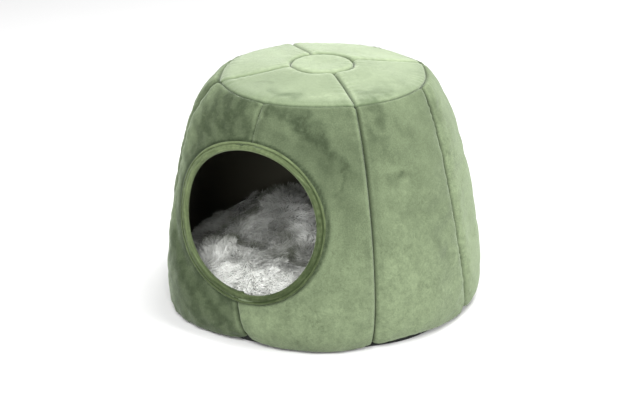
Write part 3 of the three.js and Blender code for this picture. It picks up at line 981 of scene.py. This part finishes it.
def panel_sheet(index, front, length):
    """A panel's cloth and its back, with the opening cut out of it."""
    shape = flat_grid(WALL_STEPS["across"], WALL_STEPS["up"])
    plain_across, plain_place = grid_places(shape)
    across = eased_steps(plain_across)
    width = arc(seam_angle(index + 1, 1.0) - seam_angle(index, 1.0), RING["radius"])
    drop = corner_drop(across * width, valley(index)["corner"])
    drop += corner_drop((1 - across) * width, valley(index + 1)["corner"])
    short = (GAP / 2 * MITRE_GAP["wall"] + drop * plain_place ** CORNER_POWER) / length
    place = eased_steps(plain_place) * (1 - short)
    seam_line = wall_line(np.full_like(place, float(seam_angle(index, 0.0))), place)[0]
    inset = np.degrees(GAP / 2 / seam_line)
    angle = between(seam_angle(index, place) + inset, seam_angle(index + 1, place) - inset, across)
    keep(shape, angle=angle, place=place)
    if front:
        cut_opening(shape, angle, place)
    return shape, close_with_back(shape)


def side_panel(index, front):
    length = line_length(seam_angle(index, 0.0))
    wrinkled = wall_wrinkles(index, length)
    shape, outer_face = panel_sheet(index, front, length)
    angle, place = kept(shape, "angle", "place")
    left, right = seam_angle(index, place), seam_angle(index + 1, place)
    across = np.clip((angle - left) / (right - left), 0, 1)
    full = wall_fullness(angle, across, place)
    middle = wall_point(angle, place, 0.0)
    height = middle[:, 2]
    radius = np.hypot(middle[:, 0], middle[:, 1])
    rim = beyond_rim(angle, place)
    distances = seam_distances(angle, left, right, radius, place, length)
    to_left, to_right, to_side, to_ring, to_foot, to_end = distances
    sides = ((valley(index)["rise"], to_left), (valley(index + 1)["rise"], to_right))
    front_seam = np.where(index == 0, to_left, to_right) if front else np.full_like(height, FAR)
    flat = FLAT_SEAM["share"] * eased(height, *FLAT_SEAM["heights"]) * bell(front_seam, FLAT_SEAM["reach"])
    sharpness = 1 - flat

    soft = filling(middle, "wall", 3) * full
    soft += looked_up(wrinkled, across, place) * risen(to_ring, 0, HELD["ring"])
    soft += RIPPLES["side"] * puckers(height, to_left, 1.3 * index)
    soft += RIPPLES["side"] * puckers(height, to_right, 1.3 * index + 1.3)
    soft += RIPPLES["ring"] * puckers(angle * DEGREE["ring"], to_ring, 2 + index)
    soft += RIPPLES["foot"] * puckers(angle * DEGREE["foot"], to_foot, 5 + index)
    soft -= wall_marks(CREASES, angle, height, "depth")
    soft *= risen(np.minimum(to_side, to_end), 0, HELD["seam"]) * risen(rim, *HELD["rim"])
    towards_front = eased(np.cos(np.radians(angle - LIGHT_SIDE)), *RING_SEAM["turns_at"])
    sewn = drawn_in(to_side) * sharpness
    sewn += drawn_in(to_ring) * between(RING_SEAM["back"], RING_SEAM["front"], towards_front)
    for rise, away in sides:
        sewn += rise * (hump(away, VALLEY["reach"]) - VALLEY["bottom"] * bell(away, VALLEY["reach"]))
    sewn -= BESIDE_TAPE["depth"] * bell(rim - BESIDE_TAPE["at"], BESIDE_TAPE["reach"])
    outer = np.maximum(EDGE / 2 + WALL["puff"] * full + soft + sewn, LOWEST["wall"])
    put(shape, wall_point(angle, place, np.where(outer_face, outer, -EDGE / 2 - WALL["back"] * full)))

    # The pile's tone: its lie and the nap's strokes and blotches, with painted shade at the seams, the ring,
    # the valleys and beside the tape, and painted light and shade along the edges
    row = PANELS[index]
    pile = between(row["low_pile"], row["high_pile"], eased(height, *PILE_HEIGHTS))
    mark_angle = angle + strayed(middle, STRAY["on_wall"], 8) / FACE["degree"]
    mark_height = height + strayed(middle, STRAY["on_wall"], 10)
    pile += STROKE_STRENGTH * wall_marks(WALL_STROKES, mark_angle, mark_height, "shade")
    pile += seam_shade_and_highlight(to_side) * sharpness + RING_SHADE["light_and_shade"] * seam_shade_and_highlight(to_ring)
    darker, reach = RING_SHADE["wall"]
    pile -= darker * bell(to_ring, reach)
    blots = BLOTCHES["wide_share"] * lumps(middle, BLOTCHES["wide"], 80 + index)
    blots += lumps(middle, BLOTCHES["fine"], 90 + index)
    pile += row["blotches"] * np.tanh(blots)
    at_left, at_right = EDGE_LIGHT_AND_SHADE.get(index, EDGE_LIGHT_AND_SHADE["others"])
    pile += band(at_left, to_left) * sharpness
    pile += band(at_right, to_right)
    for rise, away in sides:
        pile -= VALLEY["shade"] * rise * bell(away, VALLEY["shade_reach"])
    pile += band(TAPE_SHADE, rim)
    keep(shape, brushed=pile)
    return made_object(f"side_panel_{index + 1}_velvet", shape, wall_velvet)


panels = [side_panel(index, index in (0, len(SEAMS) - 1)) for index in range(len(SEAMS))]


# The quilted top

# Painted light on each petal's pile, from the right one round the back to the front one, and on
# the disc: lighter behind and on the disc, darker on the front petal
PETAL_LIGHT = {1: 0.1, 2: 0.3, 3: 0.1, 4: -0.15}
DISC_LIGHT = 0.3


def brushed_top(shape, middle, light_and_shade):
    across = middle[:, 0] + strayed(middle, STRAY["on_top"], 12)
    up = middle[:, 1] + STRAY["wide"] * lumps(middle, STRAY["on_top"][0], 14)
    keep(shape, brushed=marks(TOP_STROKES, across, up, "shade") + light_and_shade)


def top_skin(outer_face, full, relief):
    outer = np.maximum(EDGE / 2 + TOP["puff"] * full + relief, LOWEST["top"])
    return np.where(outer_face, outer, -EDGE / 2 - TOP["back"] * full)


def top_petal(number, left_seam, right_seam):
    left_row, right_row = SEAMS[left_seam], SEAMS[right_seam % len(SEAMS)]
    turn = 360 * (right_seam // len(SEAMS))
    run = RING["radius"] - DISC["radius"]
    shape = flat_grid(PETAL_STEPS["across"], PETAL_STEPS["along"])
    plain_across, plain_place = grid_places(shape)
    across = eased_steps(plain_across)
    width = arc(right_row["ring"] + turn - left_row["ring"], RING["radius"])
    corner = corner_drop(np.minimum(across, 1 - across) * width, PETAL_CORNER)
    inset_end = GAP / 2 / run * MITRE_GAP["top"]
    place = between(inset_end, 1 - inset_end, eased_steps(plain_place))
    place -= corner * plain_place ** CORNER_POWER / run
    keep(shape, across=across, place=place)
    outer_face = close_with_back(shape)
    across, place = kept(shape, "across", "place")
    radius = between(DISC["radius"], RING["radius"], place)
    inset = np.degrees(GAP / 2 / radius)
    left = between(left_row["disc"], left_row["ring"], place) + inset
    right = between(right_row["disc"], right_row["ring"], place) + turn - inset
    angle = between(left, right, across)
    full = fullness_between(across, TOP["full"]) * fullness_between(place, TOP["full"])
    middle = top_point(angle, place, 0.0)
    distances = seam_distances(angle, left, right, radius, place, run)
    to_left, to_right, to_side, to_ring, to_disc, to_end = distances

    ripples = puckers(radius, to_left, 2.0 * number) + puckers(radius, to_right, 2.0 * number + 2)
    ripples += puckers(angle * DEGREE["top_ring"], to_ring, 4 + number)
    ripples += puckers(angle * DEGREE["round_disc"], to_disc, 7 + number)
    soft = filling(middle, "top", 21) * full + RIPPLES["top"] * ripples
    soft *= risen(np.minimum(to_side, to_end), 0, HELD["seam"])
    sewn = drawn_in(to_side) + DISC_SEAM * drawn_in(to_end)
    put(shape, top_point(angle, place, top_skin(outer_face, full, soft + sewn)))
    # Painted shade and highlight at the seams and the ring, and painted light on each petal, added to the
    # nap's strokes
    light_and_shade = top_seam_shade_and_highlight(to_left, left) + top_seam_shade_and_highlight(to_right, right)
    light_and_shade += top_seam_shade_and_highlight(to_disc, angle + 90) + seam_shade_and_highlight(to_ring)
    darker, reach = RING_SHADE["top"]
    light_and_shade -= darker * bell(to_ring, reach)
    brushed_top(shape, middle, light_and_shade + PETAL_LIGHT[number])
    return made_object(f"top_petal_{number}_velvet", shape, top_velvet)


petal_seams = [index for index, row in enumerate(SEAMS) if row["disc"] is not None]
petal_ends = petal_seams[1:] + [petal_seams[0] + len(SEAMS)]
petals = [top_petal(number + 1, *seams) for number, seams in enumerate(zip(petal_seams, petal_ends))]


def top_disc():
    radius = DISC["radius"] - DISC["clear"]
    shape = round_sheet(radius, DISC["rings"], DISC["steps"])
    outer_face = close_with_back(shape)
    ring, angle = round_places(shape)
    full = fullness(ring / radius, TOP["full"])
    middle = polar(angle, ring, DISC["height"])
    to_edge = radius - ring
    soft = filling(middle, "disc", 31) * full
    soft += RIPPLES["disc"] * puckers(np.abs(angle) * DEGREE["disc"], to_edge, 3)
    out = top_skin(outer_face, full, soft + drawn_in(to_edge))
    put(shape, middle + np.stack([0 * out, 0 * out, out], -1))
    brushed_top(shape, middle, DISC_LIGHT + top_seam_shade_and_highlight(to_edge, angle + 90))
    return made_object("top_disc_velvet", shape, top_velvet)


disc = top_disc()


# The tape round the opening

# Its section, once round: millimetres beyond the rim and outside the wall's seam line
TAPE_SECTION = [
    (8.8, 1.2), (9.2, 1.7), (8.8, 2.4), (7.9, 3.0), (7.0, 3.1), (6.2, 2.7), (5.5, 1.9), (4.7, 2.1), (3.6, 2.6),
    (2.2, 2.9), (0.6, 2.8), (-0.6, 2.2), (-1.4, 1.0), (-1.6, -0.7), (-1.5, -2.4), (-1.1, -3.8), (-0.2, -4.7),
    (1.6, -5.1), (5.0, -5.2), (8.8, -5.2), (9.5, -4.7), (8.8, -4.1), (5.0, -4.0), (1.0, -4.0), (-0.2, -3.4),
    (-0.35, -1.6), (-0.3, 0.6), (0.6, 1.5), (3.6, 1.5), (7.0, 1.4),
]
TAPE_STEPS = {"section": 72, "round": 320}
TAPE_LOOP = 90  # radius of the opening, for lengths along the tape
TAPE_JOINT = {"at": -131, "reach": 14, "step": 2.6, "high": 0.8}

# Ripples and lumps across the tape's crown, with painted shade lightening the ripples' crests and
# darkening their hollows, and how far its free edge strays, along its length
TAPE_CROWN = {"at": 2.5, "reach": 2.5, "lumps": (0.35, 40)}
TAPE_RIPPLE = {"length": 1.25, "wander": (1.6, 9.3), "fades_over": 21, "high": 0.25, "shade": 0.3}
TAPE_EDGE = {"from": 7, "strays": 0.3, "over": 14.0}

# How the tape's pile is lit round the opening, and its unevenness
TAPE_TONE = {"plain": -0.4, "swing": 0.75, "lit_from": 2.2, "lumps": (0.35, 12)}

# Painted light and shade on the tape's pile: a highlight on the lip and the fold, shade in the
# groove of its stitches
TAPE_LIGHT_AND_SHADE = table(
    "at reach shade outer_leg",
    (7.2, 1.0, 0.45, True), (-1.2, 0.7, 0.5, False), (5.4, 0.6, -0.8, True),
)


def round_loop(rows, share):
    """A point on the smooth closed line through the rows."""
    rows = np.array(rows)
    at = share * len(rows)
    index = np.floor(at).astype(int)
    rest = (at - index)[:, None]
    p0, p1, p2, p3 = (rows[(index + step) % len(rows)] for step in (-1, 0, 1, 2))
    turned = (2 * p1) + (p2 - p0) * rest + (2 * p0 - 5 * p1 + 4 * p2 - p3) * rest ** 2
    return (turned + (3 * p1 - p0 - 3 * p2 + p3) * rest ** 3) / 2


def opening_tape():
    shape = bmesh.new()
    upright = Matrix.Translation((1, 0, 0)) @ Matrix.Rotation(math.pi / 2, 4, "X")
    bmesh.ops.create_circle(shape, segments=TAPE_STEPS["section"], radius=0.5, matrix=upright)
    spun_round(shape, TAPE_STEPS["round"])
    found = np.array([vertex.co for vertex in shape.verts])
    direction = np.arctan2(found[:, 1], found[:, 0])
    share = np.arctan2(found[:, 2], np.hypot(found[:, 0], found[:, 1]) - 1) / (2 * np.pi) % 1
    section = round_loop(TAPE_SECTION, share)
    stretch = np.linalg.norm(rim_point(direction, 4.0, 0.0) - rim_point(direction, 0.0, 0.0), axis=-1) / 4
    beyond, out = section[:, 0] / stretch, section[:, 1]
    along = direction * TAPE_LOOP
    outer_leg = np.clip((out + 1) / 3, 0, 1)
    wander, wanders_over = TAPE_RIPPLE["wander"]
    ripple = np.sin(along / TAPE_RIPPLE["length"] + wander * np.sin(along / wanders_over))
    ripple *= 0.5 + 0.5 * np.sin(along / TAPE_RIPPLE["fades_over"] + 1)
    crown = outer_leg * bell(beyond - TAPE_CROWN["at"], TAPE_CROWN["reach"])
    once_round = 2 * np.pi * TAPE_LOOP
    past_joint = (along - TAPE_JOINT["at"]) % once_round
    before_joint = np.exp((past_joint - once_round) / TAPE_JOINT["reach"])
    overlap = np.where(past_joint > once_round / 2, before_joint, 0)
    high, size = TAPE_CROWN["lumps"]
    out += TAPE_RIPPLE["high"] * ripple * crown + high * crown * lumps(found * TAPE_LOOP, size, 5)
    out += TAPE_JOINT["high"] * overlap * outer_leg
    edge = outer_leg * (beyond > TAPE_EDGE["from"])
    beyond += TAPE_EDGE["strays"] * np.sin(along / TAPE_EDGE["over"]) * edge
    beyond -= TAPE_JOINT["step"] * overlap * bell(beyond + 1.5, 3)
    put(shape, rim_point(direction, beyond, out))
    tone = TAPE_TONE["swing"] * np.cos(direction - TAPE_TONE["lit_from"]) + TAPE_TONE["plain"]
    tone += TAPE_RIPPLE["shade"] * ripple * crown
    for row in TAPE_LIGHT_AND_SHADE:
        tone += band(row, beyond) * (outer_leg if row["outer_leg"] else 1)
    strength, size = TAPE_TONE["lumps"]
    keep(shape, brushed=tone + strength * lumps(found * TAPE_LOOP, size, 6))
    return made_object("opening_tape", shape, tape_velvet)


tape = opening_tape()


# Lining and base

# The lining's foot stands inside the wall's up to a place where it meets the panels' backs. Its
# steps crowd towards the opening, and the first quarter of its rings is the roof.
LINING = {"thickness": 1.5, "clear": 1.25, "foot_radius": 183, "foot_place": 0.06, "roof_full": 10}
LINING_STEPS = {"round": 150, "up": 76, "crowded": 0.45, "roof": 0.25}
BASE = {"radius": 187, "thickness": 10, "round": 3.5, "corner": 7, "flat": 12, "steps": 192}
SEAT = BASE["thickness"] + GAP  # the height that the lining and the cushion stand at


def dark_lining():
    shape = flat_grid(LINING_STEPS["round"], LINING_STEPS["up"])
    plain_turn, plain_ring = grid_places(shape)
    turn = np.radians(plain_turn * 360 - 180)
    angle = OPENING["turn"] + np.degrees(turn - LINING_STEPS["crowded"] * np.sin(turn))
    roof_share = LINING_STEPS["roof"]
    on_roof = plain_ring / roof_share * 2
    on_wall = between(2, 3, (plain_ring - roof_share) / (1 - roof_share))
    ring = np.where(plain_ring < roof_share, on_roof, on_wall)
    place = np.clip(3 - ring, 0, 1)
    keep(shape, ring=ring, angle=angle, place=place)
    for vertex, value, sweep in zip(shape.verts, ring, turn):
        vertex.co = Vector((value * math.sin(sweep), -value * math.cos(sweep), 0))
    cut_opening(shape, angle, place, ring > 2)
    bmesh.ops.remove_doubles(shape, verts=shape.verts[:], dist=1e-4)
    outer_face = close_with_back(shape)
    angle, place, ring = kept(shape, "angle", "place", "ring")
    ring = np.where(ring > 2, 3 - place, ring)
    behind = -EDGE / 2 - LINING["clear"] - np.where(outer_face, 0, LINING["thickness"])
    roof = behind - TOP["back"] * fullness(np.minimum(ring / 2, 1), LINING["roof_full"])
    quilted = fullness_between(place, WALL["up"]) * fullness_near_rim(angle, place)
    wall = wall_point(angle, place, behind - WALL["back"] * quilted)
    flat = polar(angle, DISC["radius"] * ring, DISC["height"] + roof)
    slope = top_point(angle, np.clip(ring - 1, 0, 1), roof)
    foot_radius = LINING["foot_radius"] + np.minimum(swollen(angle, 0), 0)
    foot_radius = foot_radius - np.where(outer_face, 0, LINING["thickness"])
    foot = polar(angle, foot_radius, SEAT)
    knee = wall_point(angle, np.full_like(place, LINING["foot_place"]), behind)
    foot_share = eased(place, 0.0, LINING["foot_place"])[:, None]
    low = (place < LINING["foot_place"]) & (ring > 2)
    points = np.where((ring < 1)[:, None], flat, np.where((ring < 2)[:, None], slope, wall))
    put(shape, np.where(low[:, None], between(foot, knee, foot_share), points))
    return made_object("dark_lining", shape, lining_cloth)


lining = dark_lining()


def black_base():
    radius, thickness, bend = BASE["radius"], BASE["thickness"], BASE["round"]
    corners = np.radians(np.linspace(-90, 0, BASE["corner"]))
    lower = [(radius - bend + bend * math.cos(turn), bend + bend * math.sin(turn)) for turn in corners]
    upper = [(across, thickness - up) for across, up in reversed(lower)]
    flat = np.linspace(0, radius - bend, BASE["flat"])[:-1]
    floor, ceiling = ([(across, up) for across in flat] for up in (0, thickness))
    profile = floor + lower + upper + ceiling[::-1]
    shape = spun_line([(across * MM, up * MM) for across, up in profile], BASE["steps"], 1e-6)
    for vertex in shape.verts:
        angle = math.degrees(math.atan2(vertex.co.x, -vertex.co.y))
        reach = math.hypot(vertex.co.x, vertex.co.y) / (radius * MM)
        hem = bell(angle - HEM["at"], HEM["around"]) * bell(vertex.co.z / MM, HEM["up"])
        out = HEM["out"] * hem + min(0, swollen(angle, 0))
        vertex.co.xy *= 1 + out / radius * reach ** HEM["from_rim"]
    return made_object("black_base", shape, base_cloth)


base = black_base()


# The cushion

CUSHION = {"radius": 176, "height": 60, "middle": 26, "full": 5, "clear": 3, "rings": 48, "steps": 144}
BULGES = table(
    "x y reach rise",
    (-12, -128, 52, 10), (-85, -95, 55, 2), (-50, 5, 75, 16), (35, -10, 60, 8), (-115, 75, 70, 20),
    (-88, 28, 26, 5), (90, 70, 70, 8),
)
FOLDS = table(
    "from to reach depth",
    ((-130, -40), (-91, -60), 12, 6), ((-91, -60), (-54, -68), 14, 6), ((-54, -68), (-12, -92), 19, 6),
    ((-12, -92), (38, -84), 20, 8), ((-40, -30), (-2, -60), 15, 4.5), ((-62, -108), (-20, -104), 13, 4),
    ((70, -60), (104, -10), 14, 5), ((20, 60), (-40, 96), 15, 6),
)

# Where the plush is lighter or darker: both ends, how far it reaches and how much. Partly its own
# mottling, partly painted: light on the front bulge by the opening, shade along the folds and
# towards the back of the bed
MOTTLING_LIGHT_AND_SHADE = table(
    "from to reach shade",
    ((-52, -146), (15, -152), 36, 0.72), ((-70, -124), (-30, -130), 26, 0.22),
    ((8, -136), (40, -104), 14, 0.15), ((-91, -60), (-54, -69), 18, -0.16),
    ((-54, -69), (-12, -90), 20, -0.15), ((-12, -90), (36, -86), 22, -0.3),
    ((-15, -128), (20, -112), 14, -0.2), ((-36, -42), (0, -62), 16, -0.24),
    ((-120, -70), (-90, -70), 16, -0.25), ((-72, 32), (-34, 3), 16, 0.35),
    ((-34, 3), (10, -42), 15, 0.38), ((-95, 8), (-80, 14), 9, 0.35), ((-90, -74), (-62, -80), 12, -0.1),
    ((-58, -18), (-40, -8), 20, -0.15), ((-120, 20), (-100, 60), 30, -0.4),
    ((-130, -60), (-110, 0), 20, -0.3), ((-66, -118), (-20, -126), 12, -0.4),
    ((-54, 18), (-20, -23), 22, -0.14), ((-110, 26), (-80, 24), 18, -0.3),
    ((60, 30), (100, 60), 30, 0.25), ((-20, 90), (40, 110), 26, -0.25),
)

# The plush pile: length, strands in each bed and how many beds, how deep below the cushion's
# skin they and the body under them lie, and how the strands are combed, toned and turned
PILE = {"length": 10, "strands": 21000, "beds": 5, "root": 4.5, "body": 4}
PILE_STEPS = {"across": 56, "along": 72, "inner": 0.02, "outer": 0.975}
COMB = {"strength": 1.8, "way": (0.5, -0.8), "wide": 60, "fine": 20, "fine_share": 0.6, "loose": 0.35}
STRAND = {"width": 0.068, "taper": 0.45, "tip": 0.9, "bow": 0.28, "sizes": (0.7, 1.25), "tones": 0.07}
PILE_SHADE = {"plain": 0.42, "lumps": ((0.06, 38, 55), (0.05, 13, 56), (0.03, 7, 57)), "stray": (3, 17)}
BODY_SHADE = {"plain": 0.35, "lumps": (0.1, 30)}


def cushion_full(ring):
    return fullness(ring / CUSHION["radius"], CUSHION["full"])


def cushion_top(x, y):
    uneven = np.zeros_like(x)
    for row in BULGES:
        uneven += row["rise"] * bell(np.hypot(x - row["x"], y - row["y"]), row["reach"])
    uneven -= marks(FOLDS, x, y, "depth")
    uneven += filling(np.stack([x, y, 0 * x], -1), "cushion", 41)
    rise = CUSHION["height"] - CUSHION["middle"] + uneven
    return SEAT + CUSHION["middle"] + EDGE / 2 + rise * cushion_full(np.hypot(x, y))


def cushion_body():
    shape = round_sheet(CUSHION["radius"], CUSHION["rings"], CUSHION["steps"])
    outer_face = close_with_back(shape)
    ring, angle = round_places(shape)
    at = polar(angle, ring, 0.0)
    full = cushion_full(ring)
    upper = cushion_top(at[:, 0], at[:, 1]) - PILE["body"] * full
    lower = SEAT + (CUSHION["middle"] - EDGE / 2) * (1 - full)
    at[:, 2] = np.where(outer_face, upper, lower)
    at[:, :2] *= 1 - CUSHION["clear"] / CUSHION["radius"]
    put(shape, at)
    strength, size = BODY_SHADE["lumps"]
    tone = BODY_SHADE["plain"] + strength * lumps(at, size, 42)
    keep(shape, tone=tone, along=np.zeros(len(at)))
    return made_object("cushion_body", shape, plush_pile)


cushion = cushion_body()


def one_strand():
    """A flat tapering strand, one unit long, bowed a little."""
    shape = flat_grid(1, 3)
    across, along = grid_places(shape)
    keep(shape, along=along)
    tip = [vertex for vertex, share in zip(shape.verts, along) if share > STRAND["tip"]]
    width = STRAND["width"] * (1 - STRAND["taper"] * along) * (along < STRAND["tip"])
    for vertex, side, share, wide in zip(shape.verts, across, along, width):
        vertex.co = Vector(((side - 0.5) * wide, STRAND["bow"] * share * share, share))
    bmesh.ops.remove_doubles(shape, verts=tip, dist=1e-4)
    made = made_object("strand", shape, plush_pile, outwards=False)
    made.hide_render = True
    return made


def combed(points, seed):
    return lumps(points, COMB["wide"], seed) + COMB["fine_share"] * lumps(points, COMB["fine"], seed + 1)


def pile_bed(name, low, high):
    """The part of the cushion's skin between two angles that one piece of pile stands on."""
    shape = flat_grid(PILE_STEPS["across"], PILE_STEPS["along"])
    across, along = grid_places(shape)
    ring = CUSHION["radius"] * (PILE_STEPS["inner"] + PILE_STEPS["outer"] * np.sqrt(along))
    at = polar(between(low, high, across), ring, 0.0)
    at[:, 2] = cushion_top(at[:, 0], at[:, 1]) - PILE["root"] * cushion_full(ring)
    at[:, :2] *= 1 - CUSHION["clear"] / CUSHION["radius"]
    put(shape, at)
    for axis, seed, way in zip("xy", (51, 53), COMB["way"]):
        keep(shape, **{f"comb_{axis}": (combed(at, seed) + way) * COMB["strength"]})
    shade = PILE_SHADE["plain"]
    for strength, size, seed in PILE_SHADE["lumps"]:
        shade = shade + strength * lumps(at, size, seed)
    strays, size = PILE_SHADE["stray"]
    right, back = (at[:, axis] + strays * lumps(at, size, 58 + axis) for axis in (0, 1))
    keep(shape, shade=shade + marks(MOTTLING_LIGHT_AND_SHADE, right, back, "shade"))
    bmesh.ops.reverse_faces(shape, faces=shape.faces[:])
    return made_object(name, shape, plush_pile, outwards=False)


def grow_pile(bed, strand, seed):
    """Strands all over a bed, leaning the way it is combed."""
    tree = bpy.data.node_groups.new("pile", "GeometryNodeTree")
    for way in ("INPUT", "OUTPUT"):
        tree.interface.new_socket("Geometry", in_out=way, socket_type="NodeSocketGeometry")
    given = tree.nodes.new("NodeGroupInput").outputs[0]
    density = PILE["strands"] / sum(polygon.area for polygon in bed.data.polygons)
    spots = {"Mesh": given, "Density": density, "Seed": seed}
    points = add_node(tree, "GeometryNodeDistributePointsOnFaces", spots)

    def named(name):
        made = add_node(tree, "GeometryNodeInputNamedAttribute", {"Name": name}, data_type="FLOAT")
        return made.outputs["Attribute"]

    def chance(low, high, number):
        limits = {2: low, 3: high, "Seed": number}
        return add_node(tree, "FunctionNodeRandomValue", limits, data_type="FLOAT").outputs[1]

    comb_x, comb_y = (
        plus(tree, named(f"comb_{axis}"), chance(-COMB["loose"], COMB["loose"], number))
        for axis, number in (("x", 1), ("y", 2))
    )
    comb = add_node(tree, "ShaderNodeCombineXYZ", {0: comb_x, 1: comb_y}).outputs[0]
    leant = {0: points.outputs["Normal"], 1: comb}
    lean = add_node(tree, "ShaderNodeVectorMath", leant, operation="ADD").outputs[0]
    turned = add_node(tree, "FunctionNodeAlignRotationToVector", {"Vector": lean}, axis="Z").outputs[0]
    spin_by = add_node(tree, "FunctionNodeAxisAngleToRotation", {"Angle": chance(-3.1, 3.1, 3)}).outputs[0]
    rotation = add_node(tree, "FunctionNodeRotateRotation", {0: turned, 1: spin_by}, rotation_space="LOCAL")
    held = add_node(tree, "GeometryNodeObjectInfo", {"Object": strand}).outputs["Geometry"]
    size = times(tree, chance(*STRAND["sizes"], 4), PILE["length"] * MM)
    placed = {"Points": points.outputs["Points"], "Instance": held}
    placed.update({"Rotation": rotation.outputs[0], "Scale": size})
    instances = add_node(tree, "GeometryNodeInstanceOnPoints", placed).outputs[0]
    tone = plus(tree, named("shade"), chance(-STRAND["tones"], STRAND["tones"], 5))
    toned = {"Geometry": instances, "Name": "tone", "Value": tone}
    stored = add_node(
        tree, "GeometryNodeStoreNamedAttribute", toned, data_type="FLOAT", domain="INSTANCE",
    ).outputs[0]
    real = add_node(tree, "GeometryNodeRealizeInstances", {"Geometry": stored}).outputs[0]
    add_node(tree, "NodeGroupOutput", {0: real})
    bed.modifiers.new("pile", "NODES").node_group = tree
    grown = bpy.data.meshes.new_from_object(bed.evaluated_get(bpy.context.evaluated_depsgraph_get()))
    bed.modifiers.clear()
    bed.data = grown
    grown.materials.clear()
    grown.materials.append(plush_pile)


strand = one_strand()
pile = []
share_of_round = 360 / PILE["beds"]
for number in range(PILE["beds"]):
    start = share_of_round * (number - 0.5)
    bed = pile_bed(f"plush_pile_{number + 1}", start, start + share_of_round)
    grow_pile(bed, strand, number + 1)
    pile.append(bed)
bpy.data.objects.remove(strand)


# What the pieces stand for

for index, panel in enumerate(panels):
    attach(panel, "root")
    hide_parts(f"side_panel_{index + 1}")
for index, petal in enumerate(petals):
    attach(petal, "root")
    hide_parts(f"top_petal_{index + 1}")
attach(disc, "root")
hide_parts("top_disc")
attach(tape, "root")
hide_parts("opening_binding")
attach(lining, "root")
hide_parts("lining")
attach(base, "root")
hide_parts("base")
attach(cushion, "root")
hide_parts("cushion")
for piece in pile:
    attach(piece, "root")


# Floor, light and camera

# Each soft light: where it is, what it is aimed at, its size and its power
LIGHTS = {
    "overhead": ((0.5, 0.8, 2.6), (0, 0, 0.15), 1.6, 85),
    "high_front": ((0.5, -1.8, 2.1), (0, 0, 0.1), 1.5, 92),
    "front": ((0.5, -2.8, 1.0), (0, 0, 0.1), 1.2, 38),
    "right": ((2.7, -0.1, 1.4), (0, 0, 0.15), 1.1, 72),
}

# The camera, in degrees and metres, and its focal length on a picture 640 wide
VIEW = {
    "azimuth": 27.99,
    "elevation": 22.40,
    "height": 0.116,
    "sideways": -0.00267,
    "distance": 1.9584,
    "focal": 1538.7,
    "picture": 640,
    "sensor": 36,
}


def pale_floor():
    shape = bmesh.new()
    bmesh.ops.create_grid(shape, x_segments=1, y_segments=1, size=12)
    material, tree, shader = new_material("pale_floor")
    fill(tree, shader, {"Base Color": (0.61, 0.61, 0.61, 1), "Roughness": 0.9, "Specular IOR Level": 0.1})
    made_object("pale_floor", shape, material)


def soft_light(name, place, aim, size, power):
    light = bpy.data.lights.new(name, "AREA")
    light.shape = "DISK"
    light.size = size
    light.energy = power
    lamp = new_object(name, light)
    lamp.location = place
    lamp.rotation_euler = (Vector(aim) - Vector(place)).to_track_quat("-Z", "Y").to_euler()


def studio():
    world = bpy.data.worlds.new("soft_room")
    world.use_nodes = True
    fill(world.node_tree, world.node_tree.nodes["Background"], {"Color": (1, 1, 1, 1), "Strength": 0.4})
    bpy.context.scene.world = world
    for name, row in LIGHTS.items():
        soft_light(name, *row)


def photo_camera():
    azimuth, elevation = math.radians(VIEW["azimuth"]), math.radians(VIEW["elevation"])
    level = math.cos(elevation)
    back = Vector((math.sin(azimuth) * level, -math.cos(azimuth) * level, math.sin(elevation)))
    right = Vector((math.cos(azimuth), math.sin(azimuth), 0))
    up = back.cross(right)
    data = bpy.data.cameras.new("photo_camera")
    data.lens = VIEW["sensor"] * VIEW["focal"] / VIEW["picture"]
    data.sensor_width = VIEW["sensor"]
    data.clip_end = 50
    camera = new_object("photo_camera", data)
    where = Vector((0, 0, VIEW["height"])) + right * VIEW["sideways"] + back * VIEW["distance"]
    camera.matrix_world = Matrix.Translation(where) @ Matrix((right, up, back)).transposed().to_4x4()
    bpy.context.scene.camera = camera


pale_floor()
studio()
photo_camera()
bpy.context.scene.view_settings.view_transform = "Standard"
